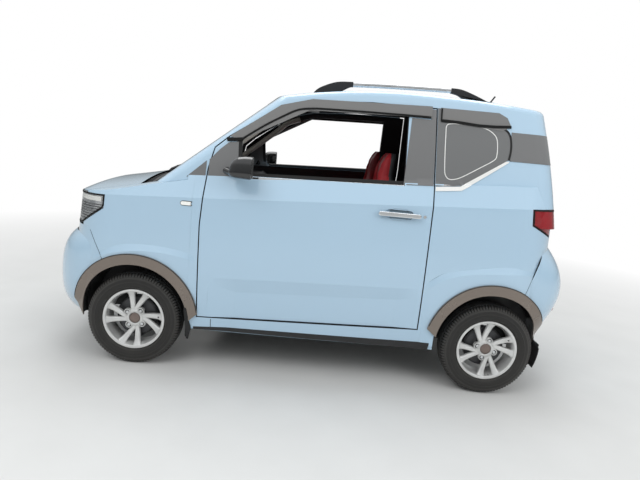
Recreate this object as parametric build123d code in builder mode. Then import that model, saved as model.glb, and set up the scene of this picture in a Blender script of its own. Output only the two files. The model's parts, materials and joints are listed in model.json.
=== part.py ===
import os
from math import atan2, cos, radians, sin

from build123d import *

os.makedirs("parts", exist_ok=True)

# A small two door electric car, in millimetres.
# The front is towards -X, the driver's side towards -Y, +Z is up.
# The origin lies on the ground, under the middle of the car.

# Driving dimensions
overall_length = 2920
wheelbase = 1940
front_overhang = 518
track = 1290
roof_height = 1621

# Clearances
panel_gap = 6
seat_gap = 0.3

# Walls
side_wall = 42
door_thickness = 70
roof_wall = 26
hood_wall = 22
gate_wall = 48
bumper_wall = 32
glass_thickness = 5

# Wheels
tyre_radius = 254
tyre_width = 145
rim_radius = 167
rim_width = 128
hub_radius = 62
bore_radius = 28
kingpin_y = 612
steer_reach = ((track / 2 + tyre_width / 2 + 2 - kingpin_y) ** 2 + tyre_radius ** 2) ** 0.5

# Arches
front_arch_height = 276
rear_arch_height = 285
arch_radius = 298
trim_width = 50
trim_proud = 12
liner_wall = 5
front_liner_inner = 425
rear_liner_inner = 540

# Places along the car
nose_x = -overall_length / 2
tail_x = overall_length / 2
fx = nose_x + front_overhang
rx = fx + wheelbase
mid_x = (fx + rx) / 2

# Lower body: plan outlines at rising heights
# height at mid length, tilt, front from front axle, rear from rear axle, half width
hull_rows = [
    (200, 0.0, -440, 346, 702),
    (440, 1.0, -438, 350, 731),
    (720, 2.0, -424, 350, 735),
    (985, 3.3, -408, 345, 727),
]
shoulder_row = (1100, 3.3, -395, 332, 684)
hull_front_sag = 80
hull_side_sag = 20
hull_rear_sag = 70
hull_front_round = 265
hull_rear_round = 225

# Greenhouse: plan outlines at rising heights
# height, front from front axle, rear from rear axle, half width
cabin_rows = [
    (950, -61, 346, 706),
    (1300, 363, 291, 634),
    (1650, 787, 216, 532),
]
cabin_front_sag = 80
cabin_side_sag = 14
cabin_rear_sag = 60
cabin_front_round = 70
cabin_rear_round = 110

# Bumpers: plan outlines at rising heights
# height, reach from axle, half width
front_bumper_rows = [
    (240, -474, 655),
    (330, -513, 700),
    (470, -front_overhang, 724),
    (600, -498, 730),
    (692, -434, 732),
]
rear_reach = tail_x - rx
rear_bumper_rows = [
    (300, 392, 662),
    (455, 434, 712),
    (620, rear_reach, 729),
    (725, 430, 732),
    (835, 354, 729),
]


def plan_outline(plane, front, rear, half, front_sag, side_sag, rear_sag, front_round, rear_round):
    """A rounded four sided outline whose sides are shallow arcs."""
    middle = (front + rear) / 2
    with BuildSketch(plane) as outline:
        with BuildLine():
            ThreePointArc((front + front_sag, -half + side_sag), (middle, -half), (rear - rear_sag, -half + side_sag))
            ThreePointArc((rear - rear_sag, -half + side_sag), (rear, 0), (rear - rear_sag, half - side_sag))
            ThreePointArc((rear - rear_sag, half - side_sag), (middle, half), (front + front_sag, half - side_sag))
            ThreePointArc((front + front_sag, half - side_sag), (front, 0), (front + front_sag, -half + side_sag))
        make_face()
        corners = outline.vertices().group_by(Axis.X)
        fillet(corners[0], front_round)
        fillet(outline.vertices().group_by(Axis.X)[-1], rear_round)
    return outline.sketch


def tilted(height, tilt):
    slope = radians(tilt)
    return Plane(origin=(mid_x, 0, height), x_dir=(cos(slope), 0, sin(slope)), z_dir=(-sin(slope), 0, cos(slope)))


def hull_outline(row, inset):
    height, tilt, front, rear, half = row
    return plan_outline(
        tilted(height, tilt), fx + front - mid_x + inset, rx + rear - mid_x - inset, half - inset,
        hull_front_sag, hull_side_sag, hull_rear_sag, hull_front_round - inset, hull_rear_round - inset,
    )


def hull_body(inset):
    """The lower body and its shoulders, up to the window line."""
    with BuildPart() as lower:
        for row in hull_rows:
            add(hull_outline(row, inset))
        loft()
    with BuildPart() as shoulder:
        add(hull_outline(hull_rows[-1], inset))
        add(hull_outline(shoulder_row, inset))
        loft(ruled=True)
    return lower.part + shoulder.part


def cabin_body(inset):
    with BuildPart() as cabin:
        for height, front, rear, half in cabin_rows:
            add(plan_outline(
                Plane.XY.offset(height), fx + front + inset * 1.5, rx + rear - inset, half - inset,
                cabin_front_sag, cabin_side_sag, cabin_rear_sag,
                max(cabin_front_round - inset, 20), max(cabin_rear_round - inset, 40),
            ))
        loft()
    return cabin.part


roof_crown_radius = 5200
roof_front = (fx + 660, 1535)
roof_middle = (fx + 1130, 1610)
roof_peak = (fx + 1560, roof_height)
roof_tail = (rx + 215, 1586)
roof_edge_round = 40


def roof_cap(drop):
    """Everything below the roof's double curved skin, lowered by drop."""
    spin = Axis((0, 0, roof_height - roof_crown_radius), (1, 0, 0))
    with BuildPart() as cap:
        with BuildSketch(Plane.XZ) as face:
            with BuildLine():
                ThreePointArc(
                    (roof_front[0] - 60, roof_front[1] - drop - 14),
                    (roof_middle[0], roof_middle[1] - drop),
                    (roof_peak[0], roof_peak[1] - drop),
                )
                TangentArc((roof_peak[0], roof_peak[1] - drop), (roof_tail[0] + 120, roof_tail[1] - drop - 14), tangent=(1, 0))
                Polyline(
                    (roof_tail[0] + 120, roof_tail[1] - drop - 14),
                    (roof_tail[0] + 120, 900),
                    (fx - 300, 900),
                    (fx - 300, roof_front[1] - drop - 60),
                    (roof_front[0] - 60, roof_front[1] - drop - 14),
                )
            make_face()
        revolve(axis=spin, revolution_arc=24)
    return cap.part.rotate(spin, -12)


# Bonnet line: distance from front axle, height on the centre line
hood_line = [(-452, 870), (-374, 938), (-280, 973), (-156, 998), (60, 1046), (250, 1084)]
hood_crown_radius = 4600


def hood_cap(drop):
    """Everything below the bonnet's double curved skin, lowered by drop."""
    spin = Axis((0, 0, hood_line[3][1] - hood_crown_radius), (1, 0, 0))
    start, edge, brow, top, cowl, end = [(fx + x, z - drop) for x, z in hood_line]
    with BuildPart() as cap:
        with BuildSketch(Plane.XZ) as face:
            with BuildLine():
                ThreePointArc(start, edge, brow)
                ThreePointArc(brow, top, cowl)
                Polyline(cowl, end, (end[0], 1800), (tail_x + 200, 1800), (tail_x + 200, 100), (start[0] - 300, 100))
                Polyline((start[0] - 300, 100), (start[0] - 300, start[1]), start)
            make_face()
        revolve(axis=spin, revolution_arc=24)
    return cap.part.rotate(spin, -12)


def outer_body(inset, drop, round_edge):
    dome = cabin_body(inset) & roof_cap(drop)
    if not round_edge:
        return (hull_body(inset) & hood_cap(drop)) + dome
    rim = [e for e in dome.edges() if roof_front[1] - 40 < e.center().Z < roof_height - drop - 3 and e.length > 60]
    dome = dome.fillet(round_edge, rim)
    return (hull_body(inset) & hood_cap(drop)) + dome


skin = outer_body(0, 0, roof_edge_round)
low_skin = hull_body(0) & hood_cap(0)
core = outer_body(side_wall, roof_wall, 0)


def bumper_block(rows, axle, facing, back, inset=0):
    """A bumper's outer form, splayed into the sides; facing is -1 at the front and 1 at the rear."""
    with BuildPart() as block:
        for height, reach, half in rows:
            with BuildSketch(Plane.XY.offset(height)) as outline:
                with BuildLine():
                    tip = axle + facing * (abs(reach) - inset)
                    side = half - inset
                    edge = tip - facing * (hull_front_sag if facing < 0 else hull_rear_sag)
                    root = side - bumper_splay
                    ThreePointArc((edge, -side), (tip, 0), (edge, side))
                    Polyline((edge, side), (axle + facing * back, root), (axle + facing * back, -root), (edge, -side))
                make_face()
                ends = outline.vertices().group_by(Axis.X)[0 if facing < 0 else -1]
                fillet(ends, (hull_front_round if facing < 0 else hull_rear_round) - inset)
        loft()
    return block.part


bumper_back = 20
bumper_splay = 50
front_block = bumper_block(front_bumper_rows, fx, -1, bumper_back)
rear_block = bumper_block(rear_bumper_rows, rx, 1, bumper_back)
front_hollow = bumper_block(front_bumper_rows, fx, -1, bumper_back - 10, bumper_wall)
rear_hollow = bumper_block(rear_bumper_rows, rx, 1, bumper_back - 10, bumper_wall)


def side_cut(points, reach=900, start=0, rounding=0):
    """A prism on the left side with an outline seen from the side."""
    with BuildPart() as prism:
        with BuildSketch(Plane.XZ.offset(start)):
            with BuildLine():
                if rounding:
                    FilletPolyline(*points, radius=rounding, close=True)
                else:
                    Polyline(*points, close=True)
            make_face()
        extrude(amount=reach - start)
    return prism.part


def both_sides(shape):
    return shape + shape.mirror(Plane.XZ)


def front_view_cut(points, start, end, rounding=0):
    """A prism along the car with an outline seen from the front."""
    with BuildPart() as prism:
        with BuildSketch(Plane.YZ.offset(start)):
            with BuildLine():
                if rounding:
                    FilletPolyline(*points, radius=rounding, close=True)
                else:
                    Polyline(*points, close=True)
            make_face()
        extrude(amount=end - start)
    return prism.part


def grown(points, amount):
    """The same outline with every side moved outwards by an amount."""
    turn = sum(a[0] * b[1] - b[0] * a[1] for a, b in zip(points, points[1:] + points[:1]))
    amount = amount if turn > 0 else -amount
    moved = []
    for before, here, after in zip(points[-1:] + points[:-1], points, points[1:] + points[:1]):
        first = atan2(here[1] - before[1], here[0] - before[0])
        second = atan2(after[1] - here[1], after[0] - here[0])
        middle = (sin(first) + sin(second), -cos(first) - cos(second))
        scale = amount / (1 + cos(second - first))
        moved.append((here[0] + middle[0] * scale, here[1] + middle[1] * scale))
    return moved


def slab(x0, x1, y0, y1, z0, z1):
    """A plain block between two corners, for cutting."""
    return Pos((x0 + x1) / 2, (y0 + y1) / 2, (z0 + z1) / 2) * Box(x1 - x0, y1 - y0, z1 - z0, mode=Mode.PRIVATE)


def save(piece, name):
    piece.part.label = name
    export_step(piece.part, f"parts/{name}.step")


def mirrored(piece):
    with BuildPart() as other:
        add(piece.part)
        mirror(about=Plane.XZ, mode=Mode.REPLACE)
    return other


def arch_cylinder(axle, height, radius, inner, outer):
    with BuildPart() as drum:
        with BuildSketch(Plane.XZ.offset(inner)):
            with Locations((axle, height)):
                Circle(radius)
        extrude(amount=outer - inner)
    return drum.part


# Outlines seen from the side: distance along the car, height
door_line = [
    (fx + 344, 306), (fx + 334, 808), (fx + 352, 1100), (fx + 377, 1212), (fx + 444, 1274),
    (fx + 700, 1454), (fx + 860, 1498), (fx + 1180, 1520), (rx - 417, 1522), (rx - 402, 1110), (rx - 402, 345),
]
door_window_line = [
    (fx + 396, 1076), (fx + 410, 1160), (fx + 460, 1236), (fx + 720, 1420), (fx + 870, 1466),
    (rx - 560, 1488), (rx - 556, 1108),
]
quarter_window_line = [
    (rx - 350, 1126), (rx - 262, 1136), (rx - 40, 1290), (rx - 20, 1363), (rx - 50, 1448), (rx - 350, 1474),
]
head_lamp_line = [
    (fx - 171, 918), (fx - 176, 846), (fx - 322, 742), (fx - 560, 742), (fx - 560, 908), (fx - 320, 914),
]
tail_lamp_line = [(rx + 129, 1050), (rx + 139, 962), (rx + 310, 880), (rx + 460, 880), (rx + 460, 1060)]
front_seam = [(fx - 262, 738), (fx - 165, 560), (fx - 165, 100)]
rear_seam = [(rx + 243, 838), (rx + 169, 617), (rx + 152, 560), (rx + 152, 100)]
bumper_split = [(fx - 700, 738), *front_seam, (fx - 700, 100)]
rear_split = [(rx + 700, 838), *rear_seam, (rx + 700, 100)]

# Outlines seen from the front: distance across, height
gate_line = [
    (-596, 842), (596, 842), (600, 1060), (556, 1300), (512, 1480), (470, 1700),
    (-470, 1700), (-512, 1480), (-556, 1300), (-600, 1060),
]
rear_glass_line = [(-520, 1098), (520, 1098), (478, 1300), (440, 1456), (-440, 1456), (-478, 1300)]
windscreen_line = [(-606, 1020), (606, 1020), (470, 1512), (-470, 1512)]
hood_half_width = 640
lamp_inner = 352
lamp_depth = 110
roof_half_width = 470
roof_start = fx + 640
roof_end = rx + 160
hood_back = fx + 130
hood_front = fx - 360
sill_height = 228
floor_height = 262

door_opening_line = grown(door_line, panel_gap)
gate_opening_line = grown(gate_line, panel_gap)

# Recess along the foot of each door, fading out at both ends
# distance along the car, height of its upper crease, height of its lower crease, depth
recess_rows = [
    (fx + 396, 530, 500, -1),
    (fx + 540, 535, 460, 12),
    (fx + 971, 552, 479, 12),
    (fx + 1402, 566, 498, 12),
    (rx - 396, 572, 520, -1),
]
recess_foot = 280


def skin_y(along, height):
    """How far out the skin is on the left side."""
    hits = skin.find_intersection_points(Axis((along, 0, height), (0, -1, 0)))
    return min(point.Y for point, normal in hits)


def recess_part(rows):
    with BuildPart() as part:
        for along, crease, fold, depth in rows:
            upper = skin_y(along, crease)
            lower = skin_y(along, fold) + depth
            rise = 0.4
            with BuildSketch(Plane.YZ.offset(along)):
                with BuildLine():
                    Polyline(
                        (upper + (upper - lower) * rise, crease + (crease - fold) * rise), (lower, fold),
                        (skin_y(along, recess_foot + 20) + depth, recess_foot), (-900, recess_foot), (-900, crease),
                        close=True,
                    )
                make_face()
        loft()
    return part.part


recess = recess_part(recess_rows[:2]) + recess_part(recess_rows[1:4]) + recess_part(recess_rows[3:])

# Swelling of the side over each wheel, under a soft crease
# distance along the car, height of the crease, how far it stands out
front_flare_rows = [
    (fx - 240, 600, -1), (fx - 120, 650, 11), (fx + 30, 676, 15), (fx + 210, 667, 12), (fx + 326, 640, -1),
]
rear_flare_rows = [
    (rx - 392, 590, -1), (rx - 250, 685, 11), (rx - 20, 724, 15), (rx + 110, 728, 10), (rx + 212, 726, -1),
]
flare_slope = 34
flare_foot = 250


def flare_part(rows):
    with BuildPart() as part:
        for along, crease, swell in rows:
            fold = crease - flare_slope
            with BuildSketch(Plane.YZ.offset(along)):
                with BuildLine():
                    Polyline(
                        (skin_y(along, crease) + 2, crease + 4), (skin_y(along, fold) - swell, fold),
                        (skin_y(along, (fold + flare_foot) / 2) - swell, (fold + flare_foot) / 2),
                        (skin_y(along, flare_foot) - swell, flare_foot), (-650, flare_foot), (-650, crease + 4),
                        close=True,
                    )
                make_face()
        loft()
    return part.part


flares = flare_part(front_flare_rows) + flare_part(rear_flare_rows)

# Door handle and the cup behind it
handle_place = (fx + 1368, 960)
handle_length = 226
handle_height = 24
handle_thickness = 14
handle_reach = 757
handle_cup_floor = 711
handle_cup = (150, 46)

# Door: one panel with its inner side, cut for the window
door_core = outer_body(door_thickness, roof_wall, 0)
frame_core = outer_body(34, roof_wall, 0)
with BuildPart() as door_left:
    add(skin)
    add(door_core, mode=Mode.SUBTRACT)
    add(side_cut(door_line), mode=Mode.INTERSECT)
    add(side_cut(door_window_line), mode=Mode.SUBTRACT)
    add(recess, mode=Mode.SUBTRACT)
    with BuildSketch(Plane.XZ.offset(handle_cup_floor)):
        with Locations(handle_place):
            SlotOverall(*handle_cup)
    extrude(amount=100, mode=Mode.SUBTRACT)
with BuildPart() as frame_hollow:
    add(frame_core)
    add(side_cut([(fx, 1090), (rx, 1150), (rx, 1700), (fx, 1700)]), mode=Mode.INTERSECT)
door_inner_line = grown(door_line, -12)
door_clear_line = grown(door_line, 12)
with BuildPart() as door_rebate:
    add(hull_body(20) + cabin_body(20))
    add(side_cut(door_clear_line), mode=Mode.INTERSECT)
    add(side_cut(door_inner_line), mode=Mode.SUBTRACT)
with BuildPart() as door_left_panel:
    add(door_left.part)
    add(frame_hollow.part, mode=Mode.SUBTRACT)
    add(door_rebate.part, mode=Mode.SUBTRACT)
save(door_left_panel, "door_left")
save(mirrored(door_left_panel), "door_right")
with BuildPart() as door_handle_left:
    with BuildSketch(Plane.XZ.offset(handle_reach)):
        with Locations(handle_place):
            SlotOverall(handle_length, handle_height)
    extrude(amount=-handle_thickness)
    fillet(door_handle_left.faces().sort_by(Axis.Y)[0].edges(), handle_thickness * 0.4)
    with BuildSketch(Plane.XZ.offset(handle_reach - handle_thickness)):
        with Locations(handle_place):
            with GridLocations(handle_length - 42, 0, 2, 1):
                SlotOverall(34, handle_height - 6)
    extrude(amount=-40)
    add(skin, mode=Mode.SUBTRACT)
save(door_handle_left, "door_handle_left")
save(mirrored(door_handle_left), "door_handle_right")

# Body side: pillar, roof rail, sill and rear quarter in one pressing
front_edge = fx + 334 - panel_gap
with BuildPart() as wing_space:
    add(low_skin)
    add(flares)
    add(slab(fx - 600, front_edge - 40, -900, 0, 100, 1700), mode=Mode.INTERSECT)
with BuildPart() as side_left:
    add(skin)
    add(flares)
    add(core, mode=Mode.SUBTRACT)
    add(slab(fx - 100, rx + 500, -900, -roof_half_width, sill_height, 1700), mode=Mode.INTERSECT)
    add(wing_space.part, mode=Mode.SUBTRACT)
    add(side_cut(door_opening_line), mode=Mode.SUBTRACT)
    add(side_cut(quarter_window_line), mode=Mode.SUBTRACT)
    add(arch_cylinder(rx - 8, rear_arch_height, arch_radius, 300, 900), mode=Mode.SUBTRACT)
    add(front_view_cut(windscreen_line, fx - 300, fx + 900), mode=Mode.SUBTRACT)
    add(front_view_cut(gate_opening_line, rx + 165, rx + 600), mode=Mode.SUBTRACT)
    add(side_cut(tail_lamp_line, start=400), mode=Mode.SUBTRACT)
    add(side_cut(rear_split), mode=Mode.SUBTRACT)
save(side_left, "side_left")
save(mirrored(side_left), "side_right")

# Roof panel between the side pressings, with its front header
with BuildPart() as roof_panel:
    add(skin)
    add(core, mode=Mode.SUBTRACT)
    add(slab(roof_start, roof_end, -roof_half_width, roof_half_width, 1440, 1700), mode=Mode.INTERSECT)
    add(front_view_cut(windscreen_line, fx - 300, fx + 900), mode=Mode.SUBTRACT)
save(roof_panel, "roof_panel")

# Front wing
with BuildPart() as wing_left:
    add(low_skin)
    add(flares)
    add(core, mode=Mode.SUBTRACT)
    add(slab(fx - 600, front_edge - 40, -900, -hood_half_width, sill_height, 1080), mode=Mode.INTERSECT)
    add(arch_cylinder(fx, front_arch_height, arch_radius, 300, 900), mode=Mode.SUBTRACT)
    add(side_cut(bumper_split), mode=Mode.SUBTRACT)
    add(side_cut(head_lamp_line), mode=Mode.SUBTRACT)
save(wing_left, "wing_left")
save(mirrored(wing_left), "wing_right")

# Bonnet
cowl_front = cabin_body(-36)
hood_core = hull_body(side_wall) & hood_cap(hood_wall)
with BuildPart() as hood:
    add(skin)
    add(hood_core, mode=Mode.SUBTRACT)
    add(slab(hood_front, hood_back, -hood_half_width + panel_gap, hood_half_width - panel_gap, 921, 1080), mode=Mode.INTERSECT)
    add(cowl_front, mode=Mode.SUBTRACT)
save(hood, "hood")

# Windscreen, rear window and quarter windows
with BuildPart() as windscreen:
    add(cabin_body(2) & roof_cap(2))
    add(cabin_body(2 + glass_thickness) & roof_cap(2 + glass_thickness), mode=Mode.SUBTRACT)
    add(front_view_cut([(y - (0.6 if y > 0 else -0.6), z) for y, z in windscreen_line], fx - 300, fx + 900), mode=Mode.INTERSECT)
    add(slab(fx - 300, fx + 900, -800, 800, 1040, roof_front[1] - 26), mode=Mode.INTERSECT)
    add(slab(fx - 300, roof_start - 1, -800, 800, 1000, 1700), mode=Mode.INTERSECT)
save(windscreen, "windscreen")

with BuildPart() as quarter_windows:
    add(cabin_body(3) & roof_cap(3))
    add(cabin_body(3 + glass_thickness) & roof_cap(3 + glass_thickness), mode=Mode.SUBTRACT)
    add(side_cut(grown(quarter_window_line, -0.6)), mode=Mode.INTERSECT)
    mirror(about=Plane.XZ)
save(quarter_windows, "quarter_windows")

# Cowl under the windscreen
with BuildPart() as cowl_panel:
    add(hull_body(20) & hood_cap(14))
    add(cabin_body(-36 + panel_gap), mode=Mode.INTERSECT)
    add(cabin_body(-1), mode=Mode.SUBTRACT)
    add(slab(fx - 200, hood_back - 30, seat_gap - hood_half_width, hood_half_width - seat_gap, 955, 1080), mode=Mode.INTERSECT)
save(cowl_panel, "cowl_panel")

# Bumpers, each with its centre panel, and the air intake in the front one
grille_line = [(-206, 312), (206, 312), (214, 388), (-214, 388)]
grille_rim = 9
grille_slats = 4
grille_slat_height = 7
tow_eye = (250, 365)
tow_eye_radius = 8
tow_cover = 48
limits = slab(nose_x, tail_x, -900, 900, 0, 1700)
front_flank = slab(fx - 600, fx - 100, -900, 900, 320, front_seam[0][1])
front_centre = slab(fx - 600, hood_front - panel_gap, -lamp_inner + 0.3, lamp_inner - 0.3, 600, 1000)
with BuildPart() as bumper_front:
    add(skin)
    add(both_sides(flares))
    add(core, mode=Mode.SUBTRACT)
    add(front_flank + front_centre, mode=Mode.INTERSECT)
    add(front_block)
    add(front_hollow, mode=Mode.SUBTRACT)
    add(both_sides(side_cut([(fx - 262, 900), *front_seam, (fx + 300, 100), (fx + 300, 900)])), mode=Mode.SUBTRACT)
    add(slab(-3000, fx - 100, -900, 900, 200, 1000), mode=Mode.INTERSECT)
    add(both_sides(arch_cylinder(fx, front_arch_height, arch_radius, 300, 900)), mode=Mode.SUBTRACT)
    add(limits, mode=Mode.INTERSECT)
    with BuildSketch(Plane.YZ.offset(nose_x - 20)):
        with Locations(tow_eye):
            Rectangle(tow_cover, tow_cover)
    extrude(amount=100, mode=Mode.SUBTRACT)
    add(front_view_cut(grille_line, nose_x - 20, fx - 330), mode=Mode.SUBTRACT)
    with Locations((fx, kingpin_y, tyre_radius), (fx, -kingpin_y, tyre_radius)):
        Sphere(steer_reach + panel_gap, mode=Mode.SUBTRACT)
save(bumper_front, "bumper_front")
slat_step = (grille_line[2][1] - grille_line[0][1] - 2 * grille_rim + grille_slat_height) / (grille_slats + 1)
with BuildPart() as lower_grille:
    add(bumper_block(front_bumper_rows, fx, -1, bumper_back, 8))
    add(bumper_block(front_bumper_rows, fx, -1, bumper_back - 10, bumper_wall - 4), mode=Mode.SUBTRACT)
    add(front_view_cut(grown(grille_line, -seat_gap), nose_x - 20, fx - 330), mode=Mode.INTERSECT)
    for index in range(grille_slats + 1):
        foot = grille_line[0][1] + grille_rim + index * slat_step
        add(
            slab(nose_x - 20, fx - 330, -190, 190, foot, foot + slat_step - grille_slat_height),
            mode=Mode.SUBTRACT,
        )
save(lower_grille, "lower_grille")
rear_flank = slab(rx + 100, rx + 420, -900, -480, 340, rear_seam[0][1])
with BuildPart() as bumper_rear:
    add(skin)
    add(both_sides(flares))
    add(core, mode=Mode.SUBTRACT)
    add(both_sides(rear_flank), mode=Mode.INTERSECT)
    add(rear_block)
    add(rear_hollow, mode=Mode.SUBTRACT)
    add(both_sides(side_cut([(rx + 243, 900), *rear_seam, (rx - 300, 100), (rx - 300, 900)])), mode=Mode.SUBTRACT)
    add(both_sides(arch_cylinder(rx - 8, rear_arch_height, arch_radius, 300, 900)), mode=Mode.SUBTRACT)
    add(limits, mode=Mode.INTERSECT)
save(bumper_rear, "bumper_rear")

# Tailgate with its window opening, and the rear window
gate_line_cut = front_view_cut(gate_line, roof_end + panel_gap, rx + 600)
gate_core = outer_body(gate_wall, roof_wall, 0)
with BuildPart() as tailgate:
    add(skin)
    add(gate_core, mode=Mode.SUBTRACT)
    add(gate_line_cut, mode=Mode.INTERSECT)
    add(front_view_cut(rear_glass_line, rx, rx + 600), mode=Mode.SUBTRACT)
save(tailgate, "tailgate")
with BuildPart() as rear_window:
    add(cabin_body(3))
    add(cabin_body(3 + glass_thickness), mode=Mode.SUBTRACT)
    add(front_view_cut(grown(rear_glass_line, -0.6), rx, rx + 600), mode=Mode.INTERSECT)
save(rear_window, "rear_window")

# Lamps
with BuildPart() as headlamps:
    add(skin)
    add(outer_body(lamp_depth, lamp_depth, 0), mode=Mode.SUBTRACT)
    add(side_cut(grown(head_lamp_line, -1), start=lamp_inner), mode=Mode.INTERSECT)
    add(core, mode=Mode.SUBTRACT)
    mirror(about=Plane.XZ)
save(headlamps, "headlamps")
with BuildPart() as tail_lamps:
    add(skin)
    add(core, mode=Mode.SUBTRACT)
    add(side_cut(grown(tail_lamp_line, -1), start=610), mode=Mode.INTERSECT)
    mirror(about=Plane.XZ)
save(tail_lamps, "tail_lamps")

# Wheel arch trims: rings that follow the sides and stand proud of them
trim_rows = [(fx, front_arch_height), (rx - 8, rear_arch_height)]
trim_feet = [
    [(fx - 400, 422), (fx - 280, 227), (fx + 250, 229), (fx + 400, 372), (fx + 400, -100), (fx - 400, -100)],
    [(rx - 400, 398), (rx - 240, 264), (rx + 270, 251), (rx + 360, 553), (rx + 420, -100), (rx - 400, -100)],
]


def swollen(rows):
    return [(along, crease, swell + trim_proud) for along, crease, swell in rows]


trim_form = (
    hull_body(-trim_proud) + flare_part(swollen(front_flare_rows)) + flare_part(swollen(rear_flare_rows))
    + bumper_block(front_bumper_rows, fx, -1, bumper_back, -trim_proud)
    + bumper_block(rear_bumper_rows, rx, 1, bumper_back, -trim_proud)
)
with BuildPart() as arch_trims:
    for (axle, height), foot in zip(trim_rows, trim_feet):
        with BuildSketch(Plane.XZ.offset(500)):
            with Locations((axle, height)):
                Circle(arch_radius + trim_width)
                Circle(arch_radius - 8, mode=Mode.SUBTRACT)
            with BuildLine():
                Polyline(*foot, close=True)
            make_face(mode=Mode.SUBTRACT)
        extrude(amount=300)
    add(trim_form, mode=Mode.INTERSECT)
    add(skin, mode=Mode.SUBTRACT)
    add(flares, mode=Mode.SUBTRACT)
    add(front_block, mode=Mode.SUBTRACT)
    add(rear_block, mode=Mode.SUBTRACT)
    mirror(about=Plane.XZ)
save(arch_trims, "arch_trims")

# Wheel housings: half drums with an inner wall
liner_limit = hull_body(side_wall + seat_gap)
with BuildPart() as wheel_housings:
    for (axle, height), inner in zip(trim_rows, (front_liner_inner, rear_liner_inner)):
        with BuildSketch(Plane.XZ.offset(inner)):
            with Locations((axle, height)):
                Circle(arch_radius - 1)
                Circle(arch_radius - 1 - liner_wall, mode=Mode.SUBTRACT)
            with Locations((axle, height - 290)):
                Rectangle(900, 500, mode=Mode.SUBTRACT)
        extrude(amount=688 - inner)
        with BuildSketch(Plane.XZ.offset(inner)):
            with Locations((axle, height)):
                Circle(arch_radius - 1)
            with Locations((axle, height - 290)):
                Rectangle(900, 500, mode=Mode.SUBTRACT)
            with Locations((axle, 0)):
                Rectangle(150, 860, mode=Mode.SUBTRACT)
        extrude(amount=liner_wall)
    add(liner_limit, mode=Mode.INTERSECT)
    add(bumper_front.part, mode=Mode.SUBTRACT)
    add(bumper_rear.part, mode=Mode.SUBTRACT)
    mirror(about=Plane.XZ)
save(wheel_housings, "wheel_housings")

# Floor, bulkhead, tunnel and front rails, welded into one
deck_height = 452
with BuildPart() as floor_pan:
    add(slab(fx + 334, rx - 320, -720, 720, floor_height, floor_height + 20))
    add(slab(rx - 340, rx - 320, -720, 720, floor_height, deck_height))
    add(liner_limit, mode=Mode.INTERSECT)
    add(slab(fx + 334, fx + 354, -612, 612, floor_height, 900))
    add(slab(rx - 340, rx + 250, -rear_liner_inner + 6, rear_liner_inner - 6, deck_height, deck_height + 20))
    for side in (-1, 1):
        add(slab(fx - 400, fx + 340, side * 330 - 28, side * 330 + 28, 330, 400))
        add(slab(fx + 330, rx - 330, side * 330 - 28, side * 330 + 28, 232, 268))
        add(slab(rx - 330, rx + 326, side * 330 - 28, side * 330 + 28, 392, 454))
    add(slab(fx - 410, fx - 380, -420, 420, 300, 430))
    add(slab(rx + 312, rx + 336, -380, 380, 380, 480))
    with BuildSketch(Plane.YZ.offset(fx - 420)):
        with Locations(tow_eye):
            Circle(tow_eye_radius)
    extrude(amount=60, mode=Mode.SUBTRACT)
save(floor_pan, "floor_pan")

# Battery under the floor
with BuildPart() as battery_pack:
    add(slab(fx + 420, rx - 420, -290, 290, 158, floor_height - seat_gap))
    fillet(battery_pack.edges().filter_by(Axis.Z), 25)
save(battery_pack, "battery_pack")


# Wheels: rim, tyre, at each corner, outer side towards -Y
half_rim = rim_width / 2
bead_radius = rim_radius - 15
with BuildPart() as rim:
    with BuildSketch(Plane.XY):
        with BuildLine():
            Polyline(
                (rim_radius, -half_rim), (rim_radius, -half_rim + 7), (bead_radius, -half_rim + 12),
                (bead_radius, half_rim - 12), (rim_radius, half_rim - 7), (rim_radius, half_rim),
                (rim_radius - 8, half_rim), (bead_radius - 7, half_rim - 20), (bead_radius - 7, -half_rim + 20),
                (rim_radius - 8, -half_rim), close=True,
            )
        make_face()
        with BuildLine():
            Polyline((bore_radius, -46), (hub_radius, -46), (hub_radius, -22), (bore_radius, -18), close=True)
        make_face()
    revolve(axis=Axis.Y)
    for index in range(4):
        for lean in (-17, 17):
            with BuildSketch(Plane.XZ.offset(26)) as spoke:
                with Locations(Location((0, 0, 0), (0, 0, index * 90 + lean))):
                    with Locations((100, 0)):
                        Rectangle(104, 26)
            extrude(amount=20)
half_tyre = tyre_width / 2
with BuildPart() as tyre:
    with BuildSketch(Plane.XY):
        with BuildLine():
            Polyline(
                (rim_radius + 26, half_tyre + 2), (rim_radius + 0.4, half_rim - 7.6), (bead_radius + 1.2, half_rim - 12.5),
                (bead_radius + 1.2, -half_rim + 12.5), (rim_radius + 0.4, -half_rim + 7.6), (rim_radius + 26, -half_tyre - 2),
                (tyre_radius - 26, -half_tyre + 3), (tyre_radius, -half_tyre + 20),
                (tyre_radius, half_tyre - 20), (tyre_radius - 26, half_tyre - 3), close=True,
            )
        make_face()
    revolve(axis=Axis.Y)
for corner, axle, side in (
    ("front_left", fx, -1), ("front_right", fx, 1), ("rear_left", rx, -1), ("rear_right", rx, 1),
):
    turn = 0 if side < 0 else 180
    place = Location((axle, side * track / 2, tyre_radius), (0, 0, turn))
    for piece, kind in ((rim, "wheel"), (tyre, "tyre")):
        with BuildPart() as placed:
            add(piece.part.moved(place))
        save(placed, f"{kind}_{corner}")

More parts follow.
